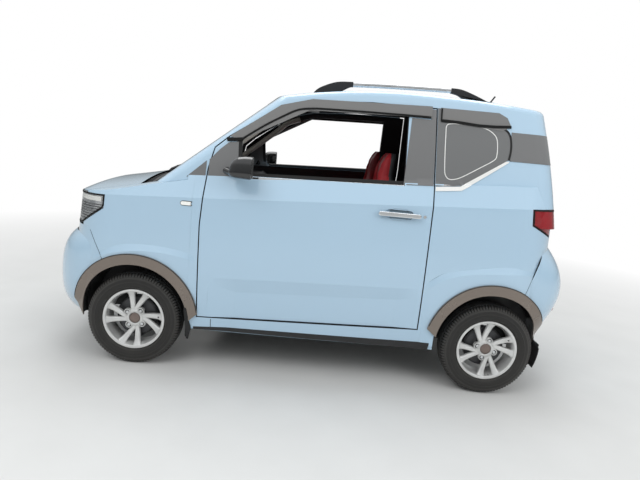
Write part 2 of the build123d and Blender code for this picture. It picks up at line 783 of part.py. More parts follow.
# Front suspension: knuckles, a cross member with arms, and spring struts
strut_y = 490
arm_top = 143.5
with BuildPart() as knuckle_left:
    add(slab(fx - 18, fx + 18, -kingpin_y - 16, -kingpin_y + 16, arm_top + 0.5, 364))
    with BuildSketch(Plane.XZ.offset(kingpin_y + 14)):
        with Locations((fx, tyre_radius)):
            Circle(52)
    extrude(amount=16)
    with BuildSketch(Plane.XZ.offset(kingpin_y + 14)):
        with Locations((fx, tyre_radius)):
            Circle(bore_radius - 0.3)
    extrude(amount=track / 2 + 42 - kingpin_y - 14)
    add(slab(fx + 10, fx + 110, -kingpin_y - 12, -kingpin_y + 12, 196, 216))
save(knuckle_left, "knuckle_left")
save(mirrored(knuckle_left), "knuckle_right")
with BuildPart() as front_subframe:
    add(slab(fx - 60, fx + 60, -330, 330, 205, 262))
    with BuildSketch(Plane.XY.offset(arm_top - 18)):
        for side in (-1, 1):
            with BuildLine():
                Polyline(
                    (fx - 20, side * (kingpin_y + 20)), (fx + 20, side * (kingpin_y + 20)), (fx + 30, side * 560),
                    (fx + 120, side * 300), (fx - 58, side * 300), (fx - 30, side * 560), close=True,
                )
            make_face()
    extrude(amount=18)
    for side in (-1, 1):
        add(slab(fx - 58, fx + 110, side * 316 - 16, side * 316 + 16, arm_top - 18, 330))
save(front_subframe, "front_subframe")
strut_top = front_arch_height + arch_radius - 1 - liner_wall - 5
with BuildPart() as front_struts:
    with BuildSketch(Plane.XY.offset(arm_top)):
        with Locations((fx, -strut_y)):
            Circle(22)
    extrude(amount=strut_top - arm_top)
    with BuildSketch(Plane.XY.offset(400)):
        with Locations((fx, -strut_y)):
            Circle(44)
    extrude(amount=strut_top - 400)
    mirror(about=Plane.XZ)
save(front_struts, "front_struts")

# Rear axle with its motor, and the rear springs
with BuildPart() as rear_axle:
    with BuildSketch(Plane.XZ.offset(-track / 2 + 60)):
        with Locations((rx, tyre_radius)):
            Circle(36)
    extrude(amount=track - 120)
    with BuildSketch(Plane.XZ.offset(-track / 2 - 40)):
        with Locations((rx, tyre_radius)):
            Circle(bore_radius - 0.3)
    extrude(amount=track + 80)
    with BuildSketch(Plane.XZ.offset(-180)):
        with Locations((rx, tyre_radius + 6)):
            Circle(104)
    extrude(amount=330)
    add(slab(rx - 190, rx, -60, 110, tyre_radius - 70, tyre_radius + 80))
save(rear_axle, "rear_axle")
with BuildPart() as rear_springs:
    with BuildSketch(Plane.XY.offset(tyre_radius + 36.3)):
        with Locations((rx, -450)):
            Circle(46)
    extrude(amount=deck_height - tyre_radius - 36.6)
    mirror(about=Plane.XZ)
save(rear_springs, "rear_springs")

# Inside: dashboard, steering wheel on its column, seats, mirror and sun visors
with BuildPart() as dashboard:
    with BuildSketch(Plane.XZ.offset(-620)):
        with BuildLine():
            FilletPolyline(
                (fx + 358, 640), (fx + 358, 1000), (fx + 330, 1030), (fx + 520, 1040), (fx + 590, 990), (fx + 560, 860), (fx + 440, 700), (fx + 430, 640),
                radius=12, close=True,
            )
        make_face()
    extrude(amount=1240)
    add(outer_body(door_thickness + 12, 60, 0), mode=Mode.INTERSECT)
save(dashboard, "dashboard")

driver_y = -300
wheel_tilt = 62
wheel_place = Location((fx + 700, driver_y, 850), (0, -wheel_tilt, 0))
with BuildPart() as steering_wheel:
    Torus(172, 13)
    with BuildSketch(Plane.XY.offset(-10)):
        Circle(52)
        Rectangle(346, 34)
        with Locations((-86, 0)):
            Rectangle(172, 30)
    extrude(amount=16)
    with BuildSketch(Plane.XY.offset(-135)):
        Circle(32)
    extrude(amount=126)
with BuildPart() as steering_wheel_placed:
    add(steering_wheel.part.moved(wheel_place))
save(steering_wheel_placed, "steering_wheel")

# Seats as plain closed forms
seat_rise = floor_height + 20.3
def seat_cushion(x0, x1, y0, y1, z0, z1, round_edge):
    with BuildPart() as pad:
        add(slab(x0, x1, y0, y1, z0, z1))
        fillet(pad.edges().filter_by(Axis.Z), round_edge)
        fillet(pad.faces().sort_by(Axis.Z)[-1].edges(), round_edge / 2)
    return pad.part


def seat_back(x0, x1, lean, y0, y1, z0, z1, round_edge):
    """A leaning back: x0 and x1 at its foot, moved back by lean at its top."""
    with BuildPart() as pad:
        with BuildSketch(Plane.XZ.offset(-y1)):
            with BuildLine():
                FilletPolyline((x0, z0), (x1, z0), (x1 + lean - 20, z1), (x0 + lean + 20, z1), radius=20, close=True)
            make_face()
        extrude(amount=y1 - y0)
        fillet(pad.edges().group_by(Axis.Y)[0], round_edge / 2)
        fillet(pad.edges().group_by(Axis.Y)[-1], round_edge / 2)
    return pad.part


for name, side in (("seat_front_left", -1), ("seat_front_right", 1)):
    low, high = sorted((side * 70, side * 520))
    with BuildPart() as seat:
        add(seat_cushion(fx + 800, fx + 1230, low, high, 440, 590, 60))
        add(seat_back(fx + 1130, fx + 1250, 150, low + 10, high - 10, 560, 1120, 50))
        add(seat_back(fx + 1262, fx + 1340, 26, low + 90, high - 90, 1090, 1285, 40))
        add(slab(fx + 830, fx + 1200, low + 40, low + 80, seat_rise, 460))
        add(slab(fx + 830, fx + 1200, high - 80, high - 40, seat_rise, 460))
    save(seat, name)
with BuildPart() as seat_rear:
    add(seat_cushion(rx - 330, rx + 60, -520, 520, deck_height + 20.3, 580, 50))
    add(seat_back(rx - 10, rx + 90, 110, -515, 515, 560, 1080, 40))
save(seat_rear, "seat_rear")
with BuildPart() as interior_mirror:
    add(slab(fx + 640, fx + 654, -110, 110, 1370, 1430))
    add(slab(fx + 600, fx + 650, -14, 14, 1396, 1490))
    add(cabin_body(2 + glass_thickness + seat_gap), mode=Mode.INTERSECT)
save(interior_mirror, "interior_mirror")
with BuildPart() as sun_visors:
    add(slab(fx + 740, fx + 900, -440, -120, 1498, 1511.7))
    mirror(about=Plane.XZ)
save(sun_visors, "sun_visors")

# Roof rails
rail_y = 440
with BuildPart() as roof_rails:
    with BuildSketch(Plane.XZ.offset(rail_y - 14)):
        with BuildLine():
            FilletPolyline(
                (fx + 860, 1540), (fx + 900, 1590), (fx + 985, 1628), (fx + 1620, 1652), (rx - 260, 1650), (rx - 130, 1605), (rx - 60, 1560),
                (rx - 230, 1560), (rx - 290, 1618), (fx + 1620, 1626), (fx + 1060, 1606), (fx + 1000, 1540), radius=10, close=True,
            )
        make_face()
    extrude(amount=28)
    add(skin, mode=Mode.SUBTRACT)
    mirror(about=Plane.XZ)
save(roof_rails, "roof_rails")

# Door parts: quarter light, rain visor, mirror
with BuildPart() as quarter_light_left:
    add(cabin_body(8))
    add(cabin_body(8 + glass_thickness), mode=Mode.SUBTRACT)
    add(side_cut(grown(door_window_line, -0.6)), mode=Mode.INTERSECT)
    add(slab(fx + 300, fx + 520, -900, 0, 1000, 1600), mode=Mode.INTERSECT)
save(quarter_light_left, "quarter_light_left")
save(mirrored(quarter_light_left), "quarter_light_right")
visor_line = [
    (fx + 505, 1262), (fx + 852, 1452), (rx - 440, 1473), (rx - 440, 1534), (fx + 862, 1512), (fx + 700, 1466), (fx + 448, 1280),
]
visor_seat_line = [
    (fx + 540, 1300), (fx + 716, 1426), (fx + 868, 1474), (fx + 1170, 1494), (rx - 560, 1496),
    (rx - 560, 1508), (fx + 1170, 1508), (fx + 862, 1488), (fx + 704, 1440), (fx + 530, 1317),
]
visor_thickness = 3
visor_seat = cabin_body(-panel_gap - 1) - skin
with BuildPart() as door_visor_left:
    add(cabin_body(-panel_gap - visor_thickness))
    add(cabin_body(-panel_gap), mode=Mode.SUBTRACT)
    add(side_cut(visor_line), mode=Mode.INTERSECT)
    add(visor_seat & side_cut(visor_seat_line))
save(door_visor_left, "door_visor_left")
save(mirrored(door_visor_left), "door_visor_right")
quarter_visor_line = [
    (rx - 394, 1462), (rx - 60, 1440), (rx - 10, 1466), (rx - 34, 1512), (rx - 80, 1534), (rx - 394, 1532),
]
with BuildPart() as quarter_visors:
    add(cabin_body(-5))
    add(skin, mode=Mode.SUBTRACT)
    add(side_cut(quarter_visor_line, start=300), mode=Mode.INTERSECT)
    mirror(about=Plane.XZ)
save(quarter_visors, "quarter_visors")
with BuildPart() as door_mirror_left:
    with BuildSketch(Plane.XZ.offset(740)):
        with BuildLine():
            FilletPolyline((fx + 478, 1075), (fx + 600, 1070), (fx + 596, 1180), (fx + 500, 1190), radius=26, close=True)
        make_face()
    extrude(amount=118)
    fillet(door_mirror_left.faces().sort_by(Axis.Y)[0].edges(), 24)
    add(slab(fx + 500, fx + 560, -760, -668, 1088, 1112))
    add(skin, mode=Mode.SUBTRACT)
save(door_mirror_left, "door_mirror_left")
save(mirrored(door_mirror_left), "door_mirror_right")
flap_thickness = 6
flap_seat = front_edge - 40 - seat_gap
with BuildPart() as mud_flaps:
    add(slab(flap_seat - flap_thickness, flap_seat, -716, -580, 172, 288))
    add(slab(rx + 296, rx + 296 + flap_thickness, -664, -560, 196, rear_bumper_rows[0][0] - seat_gap))
    mirror(about=Plane.XZ)
save(mud_flaps, "mud_flaps")
with BuildPart() as antenna:
    with BuildSketch(Plane.XY.offset(1600)):
        with Locations((rx + 22, 0)):
            Circle(16)
    extrude(amount=28)
    with BuildSketch(Plane(origin=(rx + 22, 0, 1620), z_dir=(0.54, 0, 0.84))):
        Circle(5)
    extrude(amount=72)
    add(skin, mode=Mode.SUBTRACT)
save(antenna, "antenna")
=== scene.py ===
import json
import math

import bmesh
import bpy
import numpy as np
from mathutils import Matrix, Vector
from mathutils.bvhtree import BVHTree

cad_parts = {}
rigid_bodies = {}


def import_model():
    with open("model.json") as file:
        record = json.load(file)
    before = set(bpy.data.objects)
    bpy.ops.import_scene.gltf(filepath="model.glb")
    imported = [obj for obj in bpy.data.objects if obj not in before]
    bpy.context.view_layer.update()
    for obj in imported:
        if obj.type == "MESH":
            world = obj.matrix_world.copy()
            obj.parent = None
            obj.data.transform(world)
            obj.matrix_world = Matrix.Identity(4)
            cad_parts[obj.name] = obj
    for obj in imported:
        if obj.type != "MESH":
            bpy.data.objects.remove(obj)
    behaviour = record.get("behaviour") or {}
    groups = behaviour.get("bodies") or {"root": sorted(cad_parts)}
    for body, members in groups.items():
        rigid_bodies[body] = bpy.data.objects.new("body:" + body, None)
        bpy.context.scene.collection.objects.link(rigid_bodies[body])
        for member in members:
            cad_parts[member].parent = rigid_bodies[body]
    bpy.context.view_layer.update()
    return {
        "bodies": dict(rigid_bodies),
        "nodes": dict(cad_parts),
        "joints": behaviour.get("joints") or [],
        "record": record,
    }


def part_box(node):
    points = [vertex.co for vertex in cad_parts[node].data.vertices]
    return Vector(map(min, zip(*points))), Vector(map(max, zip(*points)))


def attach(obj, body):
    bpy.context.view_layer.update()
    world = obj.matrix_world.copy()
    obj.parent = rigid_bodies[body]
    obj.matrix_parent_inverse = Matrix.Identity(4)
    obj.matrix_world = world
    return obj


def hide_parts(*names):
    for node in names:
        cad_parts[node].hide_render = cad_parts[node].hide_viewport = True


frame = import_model()
cadNodes = frame["nodes"]
nodeSlot = {s["node"]: s["material_slot"] for s in frame["record"]["subparts"]}
jointPlace = {j["name"]: Vector(j["pos_m"]) for j in frame["joints"]}
frontAxle = jointPlace["spin_front_left"].x
rearAxle = jointPlace["spin_rear_left"].x
tau = 2 * math.pi
print("frame loaded")

# camera and lamps

view = {"place": (-0.034, -3.526, 1.284), "yaw": 1.22, "pitch": 10.07, "roll": 5.52, "lens": 30.4}
studio = {
    "world": 0.66, "floor": (0.60, 0.60, 0.59), "fadeStart": 2.4, "fadeEnd": 5.5,
    "sky": [(0.46, (0.20, 0.20, 0.19)), (0.52, (0.40, 0.42, 0.42)), (0.80, (1.35, 1.38, 1.40))],
    # place, target, size, power, whether the paint mirrors it
    "lamps": {
        "keyLamp": ((-2.5, -4.5, 4.8), (0, 0, 0.6), (3.5, 2.5), 108, False),
        "sideLamp": ((4.0, -4.0, 3.0), (0, 0, 0.6), (3.0, 2.5), 76, False),
        "topLamp": ((0, 1.0, 5.0), (0, 0, 0.8), (5.0, 3.0), 125, True),
    },
}


def placed(name, data):
    obj = bpy.data.objects.new(name, data)
    bpy.context.scene.collection.objects.link(obj)
    return obj


def makeCamera():
    yaw, pitch, roll = (math.radians(view[k]) for k in ("yaw", "pitch", "roll"))
    ahead = Vector((math.sin(yaw) * math.cos(pitch), math.cos(yaw) * math.cos(pitch), -math.sin(pitch)))
    right = Vector((math.cos(yaw), -math.sin(yaw), 0))
    up = right.cross(ahead)
    rolledRight = right * math.cos(roll) + up * math.sin(roll)
    rolledUp = up * math.cos(roll) - right * math.sin(roll)
    data = bpy.data.cameras.new("camera")
    data.lens = view["lens"]
    data.sensor_width = 36
    data.clip_end = 200
    obj = placed("camera", data)
    turn = Matrix((rolledRight, rolledUp, -ahead)).transposed()
    obj.matrix_world = Matrix.Translation(view["place"]) @ turn.to_4x4()
    bpy.context.scene.camera = obj


def addLamp(name, place, target, size, power, mirrored):
    data = bpy.data.lights.new(name, "AREA")
    data.shape = "RECTANGLE"
    data.size, data.size_y = size
    data.energy = power
    obj = placed(name, data)
    aim = Vector(target) - Vector(place)
    obj.matrix_world = Matrix.Translation(place) @ aim.to_track_quat("-Z", "Y").to_matrix().to_4x4()
    obj.visible_glossy = mirrored  # a lamp that shows in the paint looks like a hard panel


# helpers for shader nodes


def feed(links, socket, value):
    # links a socket, or writes a plain value on the input
    if isinstance(value, bpy.types.NodeSocket):
        links.new(value, socket)
    else:
        socket.default_value = value


def mathNode(nodes, links, operation, *values, clamp=False):
    node = nodes.new("ShaderNodeMath")
    node.operation = operation
    node.use_clamp = clamp
    for socket, value in zip(node.inputs, values):
        feed(links, socket, value)
    return node.outputs["Value"]


def vectorNode(nodes, links, operation, first, second=None):
    node = nodes.new("ShaderNodeVectorMath")
    node.operation = operation
    feed(links, node.inputs[0], first)
    if second is not None:
        feed(links, node.inputs["Scale" if operation == "SCALE" else 1], second)
    return node.outputs["Value" if operation in ("LENGTH", "DOT_PRODUCT") else "Vector"]


def mixNode(nodes, links, factor, low, high):
    # colors where the second value is a color, else plain numbers
    node = nodes.new("ShaderNodeMix")
    isColor = high.type == "RGBA" if isinstance(high, bpy.types.NodeSocket) else isinstance(high, tuple)
    if isColor:
        node.data_type = "RGBA"
    first = 6 if isColor else 2
    for index, value in ((0, factor), (first, low), (first + 1, high)):
        feed(links, node.inputs[index], value)
    return node.outputs[2 if isColor else 0]


def noiseNode(nodes, links, scale, detail=3):
    noise = nodes.new("ShaderNodeTexNoise")
    feed(links, noise.inputs["Scale"], scale)
    noise.inputs["Detail"].default_value = detail
    links.new(nodes.new("ShaderNodeTexCoord").outputs["Object"], noise.inputs["Vector"])
    return noise.outputs["Fac"]


def rangeNode(nodes, links, source, low, high, toLow, toHigh, kind="LINEAR"):
    node = nodes.new("ShaderNodeMapRange")
    node.interpolation_type = kind
    for title, value in (("From Min", low), ("From Max", high), ("To Min", toLow), ("To Max", toHigh)):
        feed(links, node.inputs[title], value)
    links.new(source, node.inputs["Value"])
    return node.outputs["Result"]


# shader groups, each built once


def newGroup(name, inputs, outputs):
    # inputs are names with start values, outputs are names
    group = bpy.data.node_groups.new(name, "ShaderNodeTree")
    for title, value in inputs.items():
        kind = "NodeSocketColor" if isinstance(value, tuple) else "NodeSocketFloat"
        group.interface.new_socket(title, in_out="INPUT", socket_type=kind).default_value = value
    for title in outputs:
        kind = "NodeSocketColor" if title == "Color" else "NodeSocketFloat"
        group.interface.new_socket(title, in_out="OUTPUT", socket_type=kind)
    start, end = group.nodes.new("NodeGroupInput"), group.nodes.new("NodeGroupOutput")
    return group, group.nodes, group.links, start.outputs, end.inputs


def makeDustGroup():
    # road dust: more of it low down, in soft patches
    group, nodes, links, start, end = newGroup(
        "roadDust", {"Color": (0.5, 0.5, 0.5, 1), "Dust": (0.36, 0.32, 0.27, 1), "Amount": 0.3, "Top": 0.55,
                     "Smooth": 0.1, "Dull": 0.6}, ["Color", "Roughness"])
    split = nodes.new("ShaderNodeSeparateXYZ")
    links.new(nodes.new("ShaderNodeTexCoord").outputs["Object"], split.inputs["Vector"])
    fade = rangeNode(nodes, links, split.outputs["Z"], start["Top"], 0.12, 0.12, 1, "SMOOTHSTEP")
    patch = rangeNode(nodes, links, noiseNode(nodes, links, 9, 6), 0.3, 0.75, 0.35, 1.2)
    dusty = mathNode(nodes, links, "MULTIPLY", fade, patch)
    dusty = mathNode(nodes, links, "MULTIPLY", dusty, start["Amount"], clamp=True)
    links.new(mixNode(nodes, links, dusty, start["Color"], start["Dust"]), end["Color"])
    links.new(mixNode(nodes, links, dusty, start["Smooth"], start["Dull"]), end["Roughness"])
    return group


def makeGrainGroup():
    # moulded grain as a height and a slight change of tone
    group, nodes, links, start, end = newGroup(
        "mouldedGrain", {"Color": (0.03, 0.03, 0.03, 1), "Scale": 900.0, "Tone": 0.25},
        ["Color", "Height", "Roughness"])
    cells = nodes.new("ShaderNodeTexVoronoi")
    links.new(nodes.new("ShaderNodeTexCoord").outputs["Object"], cells.inputs["Vector"])
    links.new(start["Scale"], cells.inputs["Scale"])
    noise = noiseNode(nodes, links, 14, 4)
    tone = mathNode(nodes, links, "MULTIPLY", noise, start["Tone"])
    lift = mathNode(nodes, links, "ADD", tone, 0.88)
    links.new(vectorNode(nodes, links, "SCALE", start["Color"], lift), end["Color"])
    links.new(cells.outputs["Distance"], end["Height"])
    links.new(rangeNode(nodes, links, noise, 0.3, 0.7, 0.42, 0.62), end["Roughness"])
    return group


def makeWeaveGroup():
    # crossed yarns as a height, with a slight change of tone between them
    group, nodes, links, start, end = newGroup(
        "clothWeave", {"Color": (0.5, 0.05, 0.05, 1), "Pitch": 260.0}, ["Color", "Height"])
    place = nodes.new("ShaderNodeTexCoord").outputs["Object"]
    total = None
    for direction in ("X", "Y", "Z"):
        wave = nodes.new("ShaderNodeTexWave")
        wave.bands_direction = direction
        wave.inputs["Distortion"].default_value = 1.5
        links.new(place, wave.inputs["Vector"])
        links.new(start["Pitch"], wave.inputs["Scale"])
        fac = wave.outputs["Fac"]
        total = fac if total is None else mathNode(nodes, links, "MULTIPLY_ADD", total, 0.6, fac)
    tone = rangeNode(nodes, links, noiseNode(nodes, links, 18, 5), 0.3, 0.7, 0.82, 1.12)
    links.new(vectorNode(nodes, links, "SCALE", start["Color"], tone), end["Color"])
    links.new(total, end["Height"])
    return group


def makeMetalGroup():
    # drawn or cast metal: a soft change of roughness and tone, and a fine noise as height
    group, nodes, links, start, end = newGroup(
        "metalSurface", {"Color": (0.6, 0.6, 0.62, 1), "Rough": 0.3}, ["Color", "Roughness", "Height"])
    broad = noiseNode(nodes, links, 11, 5)
    tone = rangeNode(nodes, links, broad, 0.3, 0.7, 0.85, 1.08)
    change = rangeNode(nodes, links, broad, 0.25, 0.75, 0.75, 1.35)
    links.new(vectorNode(nodes, links, "SCALE", start["Color"], tone), end["Color"])
    links.new(mathNode(nodes, links, "MULTIPLY", start["Rough"], change), end["Roughness"])
    links.new(noiseNode(nodes, links, 160, 4), end["Height"])
    return group


def makePeelGroup():
    # the slight ripple of sprayed paint or moulded plastic
    group, nodes, links, start, end = newGroup("sprayRipple", {"Scale": 260.0}, ["Height"])
    links.new(noiseNode(nodes, links, start["Scale"], 1), end["Height"])
    return group


def makeInsideGroup():
    # where a panel faces the middle of the car it is dark and dull instead of painted
    group, nodes, links, start, end = newGroup(
        "insideFace", {"Color": (0.5, 0.5, 0.5, 1), "Inner": (0.022, 0.022, 0.024, 1), "Roughness": 0.1,
                       "Coat": 0.9}, ["Color", "Roughness", "Coat"])
    place = nodes.new("ShaderNodeTexCoord")
    away = vectorNode(nodes, links, "SUBTRACT", place.outputs["Object"], (0.1, 0, 0.9))
    facing = vectorNode(nodes, links, "DOT_PRODUCT", away, place.outputs["Normal"])
    inner = rangeNode(nodes, links, facing, -0.03, -0.10, 0, 1)
    links.new(mixNode(nodes, links, inner, start["Color"], start["Inner"]), end["Color"])
    links.new(mixNode(nodes, links, inner, start["Roughness"], 0.6), end["Roughness"])
    links.new(mixNode(nodes, links, inner, start["Coat"], 0), end["Coat"])
    return group


dustGroup = makeDustGroup()
insideGroup = makeInsideGroup()
grainGroup = makeGrainGroup()
weaveGroup = makeWeaveGroup()
metalGroup = makeMetalGroup()
peelGroup = makePeelGroup()

# materials


def newMaterial(name):
    mat = bpy.data.materials.new(name)
    mat.use_nodes = True
    nodes, links = mat.node_tree.nodes, mat.node_tree.links
    return mat, nodes, links, nodes["Principled BSDF"]


def useGroup(nodes, group, **values):
    node = nodes.new("ShaderNodeGroup")
    node.node_tree = group
    for title, value in values.items():
        node.inputs[title].default_value = value
    return node


def dress(links, source, surface, rough=None):
    # color and roughness of a group on the shader, or a fixed roughness
    links.new(source.outputs["Color"], surface.inputs["Base Color"])
    feed(links, surface.inputs["Roughness"], source.outputs["Roughness"] if rough is None else rough)


def bumpNode(nodes, links, surface, height, strength, distance, edge=0.0):
    bump = nodes.new("ShaderNodeBump")
    bump.inputs["Strength"].default_value = strength
    bump.inputs["Distance"].default_value = distance
    links.new(height, bump.inputs["Height"])
    if edge:
        rounded = nodes.new("ShaderNodeBevel")  # softens every edge a little
        rounded.samples = 4
        rounded.inputs["Radius"].default_value = edge
        links.new(rounded.outputs["Normal"], bump.inputs["Normal"])
    links.new(bump.outputs["Normal"], surface.inputs["Normal"])


def paintMaterial(name, color, smooth=0.12, coat=0.9, dust=0.10, top=0.34, edge=0.0025, metallic=0.0,
                  inside=False):
    mat, nodes, links, surface = newMaterial(name)
    source = useGroup(nodes, dustGroup, Color=(*color, 1), Amount=dust, Top=top, Smooth=smooth, Dull=0.65)
    surface.inputs["Coat Weight"].default_value = coat
    if inside:
        inner = useGroup(nodes, insideGroup, Coat=coat)
        for title in ("Color", "Roughness"):
            links.new(source.outputs[title], inner.inputs[title])
        links.new(inner.outputs["Coat"], surface.inputs["Coat Weight"])
        source = inner
    dress(links, source, surface)
    surface.inputs["Coat Roughness"].default_value = 0.03
    surface.inputs["Metallic"].default_value = metallic
    peel = useGroup(nodes, peelGroup, Scale=240.0)
    bumpNode(nodes, links, surface, peel.outputs["Height"], 0.05, 0.0006, edge)
    return mat


def plasticMaterial(name, color, rough=None, scale=900.0, bump=0.25, coat=0.0):
    mat, nodes, links, surface = newMaterial(name)
    grain = useGroup(nodes, grainGroup, Color=(*color, 1), Scale=scale)
    dress(links, grain, surface, rough)
    surface.inputs["Coat Weight"].default_value = coat
    surface.inputs["Coat Roughness"].default_value = 0.05
    bumpNode(nodes, links, surface, grain.outputs["Height"], bump, 0.0003)
    return mat


def metalMaterial(name, color, rough, metallic=1.0, bump=0.1, edge=0.0):
    mat, nodes, links, surface = newMaterial(name)
    metal = useGroup(nodes, metalGroup, Color=(*color, 1), Rough=rough)
    dress(links, metal, surface)
    surface.inputs["Metallic"].default_value = metallic
    bumpNode(nodes, links, surface, metal.outputs["Height"], bump, 0.0004, edge)
    return mat


def clothMaterial(name, color, pitch=260.0, bump=0.5):
    mat, nodes, links, surface = newMaterial(name)
    weave = useGroup(nodes, weaveGroup, Color=(*color, 1), Pitch=pitch)
    dress(links, weave, surface, 0.85)
    surface.inputs["Sheen Weight"].default_value = 0.3
    bumpNode(nodes, links, surface, weave.outputs["Height"], bump, 0.0008)
    return mat


def glassMaterial(name, color, clear, rough=0.02):
    # a thin pane: part see-through, part a dark gloss that reflects the sky
    mat, nodes, links, surface = newMaterial(name)
    dress(links, useGroup(nodes, dustGroup, Color=(*color, 1), Amount=0.05, Top=0.9, Smooth=rough, Dull=0.4),
          surface)
    surface.inputs["Coat Weight"].default_value = 0.5
    facing = nodes.new("ShaderNodeLayerWeight")
    facing.inputs["Blend"].default_value = 0.25
    solid = mathNode(nodes, links, "MULTIPLY_ADD", facing.outputs["Fresnel"], clear * 0.6, 1 - clear,
                     clamp=True)
    links.new(solid, surface.inputs["Alpha"])
    peel = useGroup(nodes, peelGroup, Scale=5.0)
    bumpNode(nodes, links, surface, peel.outputs["Height"], 0.02, 0.001)
    return mat


def tyreMaterial():
    mat, nodes, links, surface = newMaterial("tyreBlack")
    grain = useGroup(nodes, grainGroup, Scale=400.0, Tone=0.5)
    # the tone attribute carries scuffed rubber, painted highlight on the ridges and painted shade in the cuts
    tone = nodes.new("ShaderNodeAttribute")
    tone.attribute_name = "tone"
    rings = mixNode(nodes, links, tone.outputs["Fac"], (0.002, 0.002, 0.002, 1), (0.048, 0.046, 0.043, 1))
    links.new(rings, grain.inputs["Color"])
    dusty = useGroup(nodes, dustGroup, Amount=0.11, Top=0.6, Smooth=0.6, Dull=0.9, Dust=(0.10, 0.09, 0.08, 1))
    links.new(grain.outputs["Color"], dusty.inputs["Color"])
    dress(links, dusty, surface)
    bumpNode(nodes, links, surface, grain.outputs["Height"], 0.3, 0.0006)
    return mat


def lampMaterial(name, color, glow, clear=0.0):
    mat, nodes, links, surface = newMaterial(name)
    metal = useGroup(nodes, metalGroup, Color=(*color, 1), Rough=0.08)
    dress(links, metal, surface)
    surface.inputs["Coat Weight"].default_value = 1
    surface.inputs["Emission Color"].default_value = (*color, 1)
    surface.inputs["Emission Strength"].default_value = glow
    surface.inputs["Alpha"].default_value = 1 - clear
    bumpNode(nodes, links, surface, metal.outputs["Height"], 0.05, 0.0004)
    return mat


mats = {
    "paint_blue": paintMaterial("paintBlue", (0.40, 0.56, 0.70), inside=True),
    "paint_bumper": paintMaterial("paintBumper", (0.39, 0.55, 0.69), dust=0.16, top=0.45, inside=True),
    "trim_grey": paintMaterial("trimGrey", (0.205, 0.170, 0.145), smooth=0.26, coat=0.5, dust=0.3, top=0.5,
                               metallic=0.6),
    "plastic_black": plasticMaterial("plasticBlack", (0.018, 0.018, 0.019)),
    "gloss_black": paintMaterial("glossBlack", (0.008, 0.008, 0.009), smooth=0.07, dust=0.02, edge=0.002),
    "glass_clear": glassMaterial("glassClear", (0.05, 0.06, 0.06), 0.82),
    "glass_dark": glassMaterial("glassDark", (0.02, 0.021, 0.023), 0.22),
    "visor_smoke": glassMaterial("visorSmoke", (0.17, 0.168, 0.166), 0.06, rough=0.16),
    "lamp_clear": glassMaterial("lampClear", (0.3, 0.32, 0.33), 0.9),
    "lamp_red": lampMaterial("lampRed", (0.36, 0.005, 0.012), 0.02, clear=0.45),
    # a darker blue that paints the shade in the door handle's recess
    "handle_cup": paintMaterial("handleCup", (0.20, 0.28, 0.35), smooth=0.3, coat=0.5, dust=0.05, edge=0.001),
    "red_core": plasticMaterial("redCore", (0.30, 0.008, 0.014), rough=0.25, coat=0.6),
    "seat_red": plasticMaterial("seatRed", (0.42, 0.028, 0.035), scale=420.0, bump=0.5),
    "seat_black": plasticMaterial("seatBlack", (0.03, 0.03, 0.032), scale=420.0, bump=0.5),
    "rubber_black": plasticMaterial("rubberBlack", (0.014, 0.014, 0.014), rough=0.7, scale=500.0),
    "tyre_black": tyreMaterial(),
    "alloy_silver": metalMaterial("alloySilver", (0.74, 0.74, 0.73), 0.36, metallic=0.7, edge=0.0015),
    "steel_dark": metalMaterial("steelDark", (0.10, 0.10, 0.105), 0.5, metallic=0.8, bump=0.3),
    "steel_painted": metalMaterial("steelPainted", (0.07, 0.075, 0.08), 0.5, metallic=0.2, bump=0.2),
    "fabric_red": clothMaterial("fabricRed", (0.36, 0.018, 0.02)),
    "cabin_plastic": plasticMaterial("cabinPlastic", (0.03, 0.03, 0.032), scale=700.0),
    "rail_silver": metalMaterial("railSilver", (0.78, 0.78, 0.79), 0.25, edge=0.002),
    "chrome": metalMaterial("chrome", (0.82, 0.83, 0.84), 0.08, bump=0.02, edge=0.001),
    "fabric_black": clothMaterial("fabricBlack", (0.02, 0.02, 0.022)),
    "trim_beige": plasticMaterial("trimBeige", (0.42, 0.40, 0.36), rough=0.6, scale=600.0, bump=0.15),
    "headliner": clothMaterial("headliner", (0.12, 0.12, 0.125), pitch=420.0, bump=0.25),
    "carpet": clothMaterial("carpet", (0.025, 0.025, 0.027), pitch=320.0, bump=0.9),
    "panel_grey": paintMaterial("panelGrey", (0.145, 0.146, 0.148), smooth=0.2, coat=0.7, dust=0.03,
                                top=0.4, edge=0.001),
    "pale_line": paintMaterial("paleLine", (0.78, 0.78, 0.76), smooth=0.3, dust=0.05, edge=0.001),
    "lamp_white": lampMaterial("lampWhite", (0.85, 0.85, 0.82), 0.15),
    "lamp_amber": lampMaterial("lampAmber", (0.8, 0.25, 0.02), 0.05),
    "reflector": metalMaterial("reflector", (0.85, 0.86, 0.88), 0.12, bump=0.02),
    "hub_cap": metalMaterial("hubCap", (0.24, 0.19, 0.17), 0.42, metallic=0.7),
    "mirror_glass": metalMaterial("mirrorGlass", (0.85, 0.87, 0.88), 0.03, bump=0.0),
    "gap_black": plasticMaterial("gapBlack", (0.006, 0.006, 0.006), rough=0.9),
    "screen_black": paintMaterial("screenBlack", (0.004, 0.004, 0.006), smooth=0.05, dust=0.0, edge=0.001),
    "privacy": glassMaterial("privacyGlass", (0.145, 0.148, 0.15), 0.03, rough=0.05),
    "copper_orange": plasticMaterial("cableOrange", (0.6, 0.16, 0.02), rough=0.5),
}


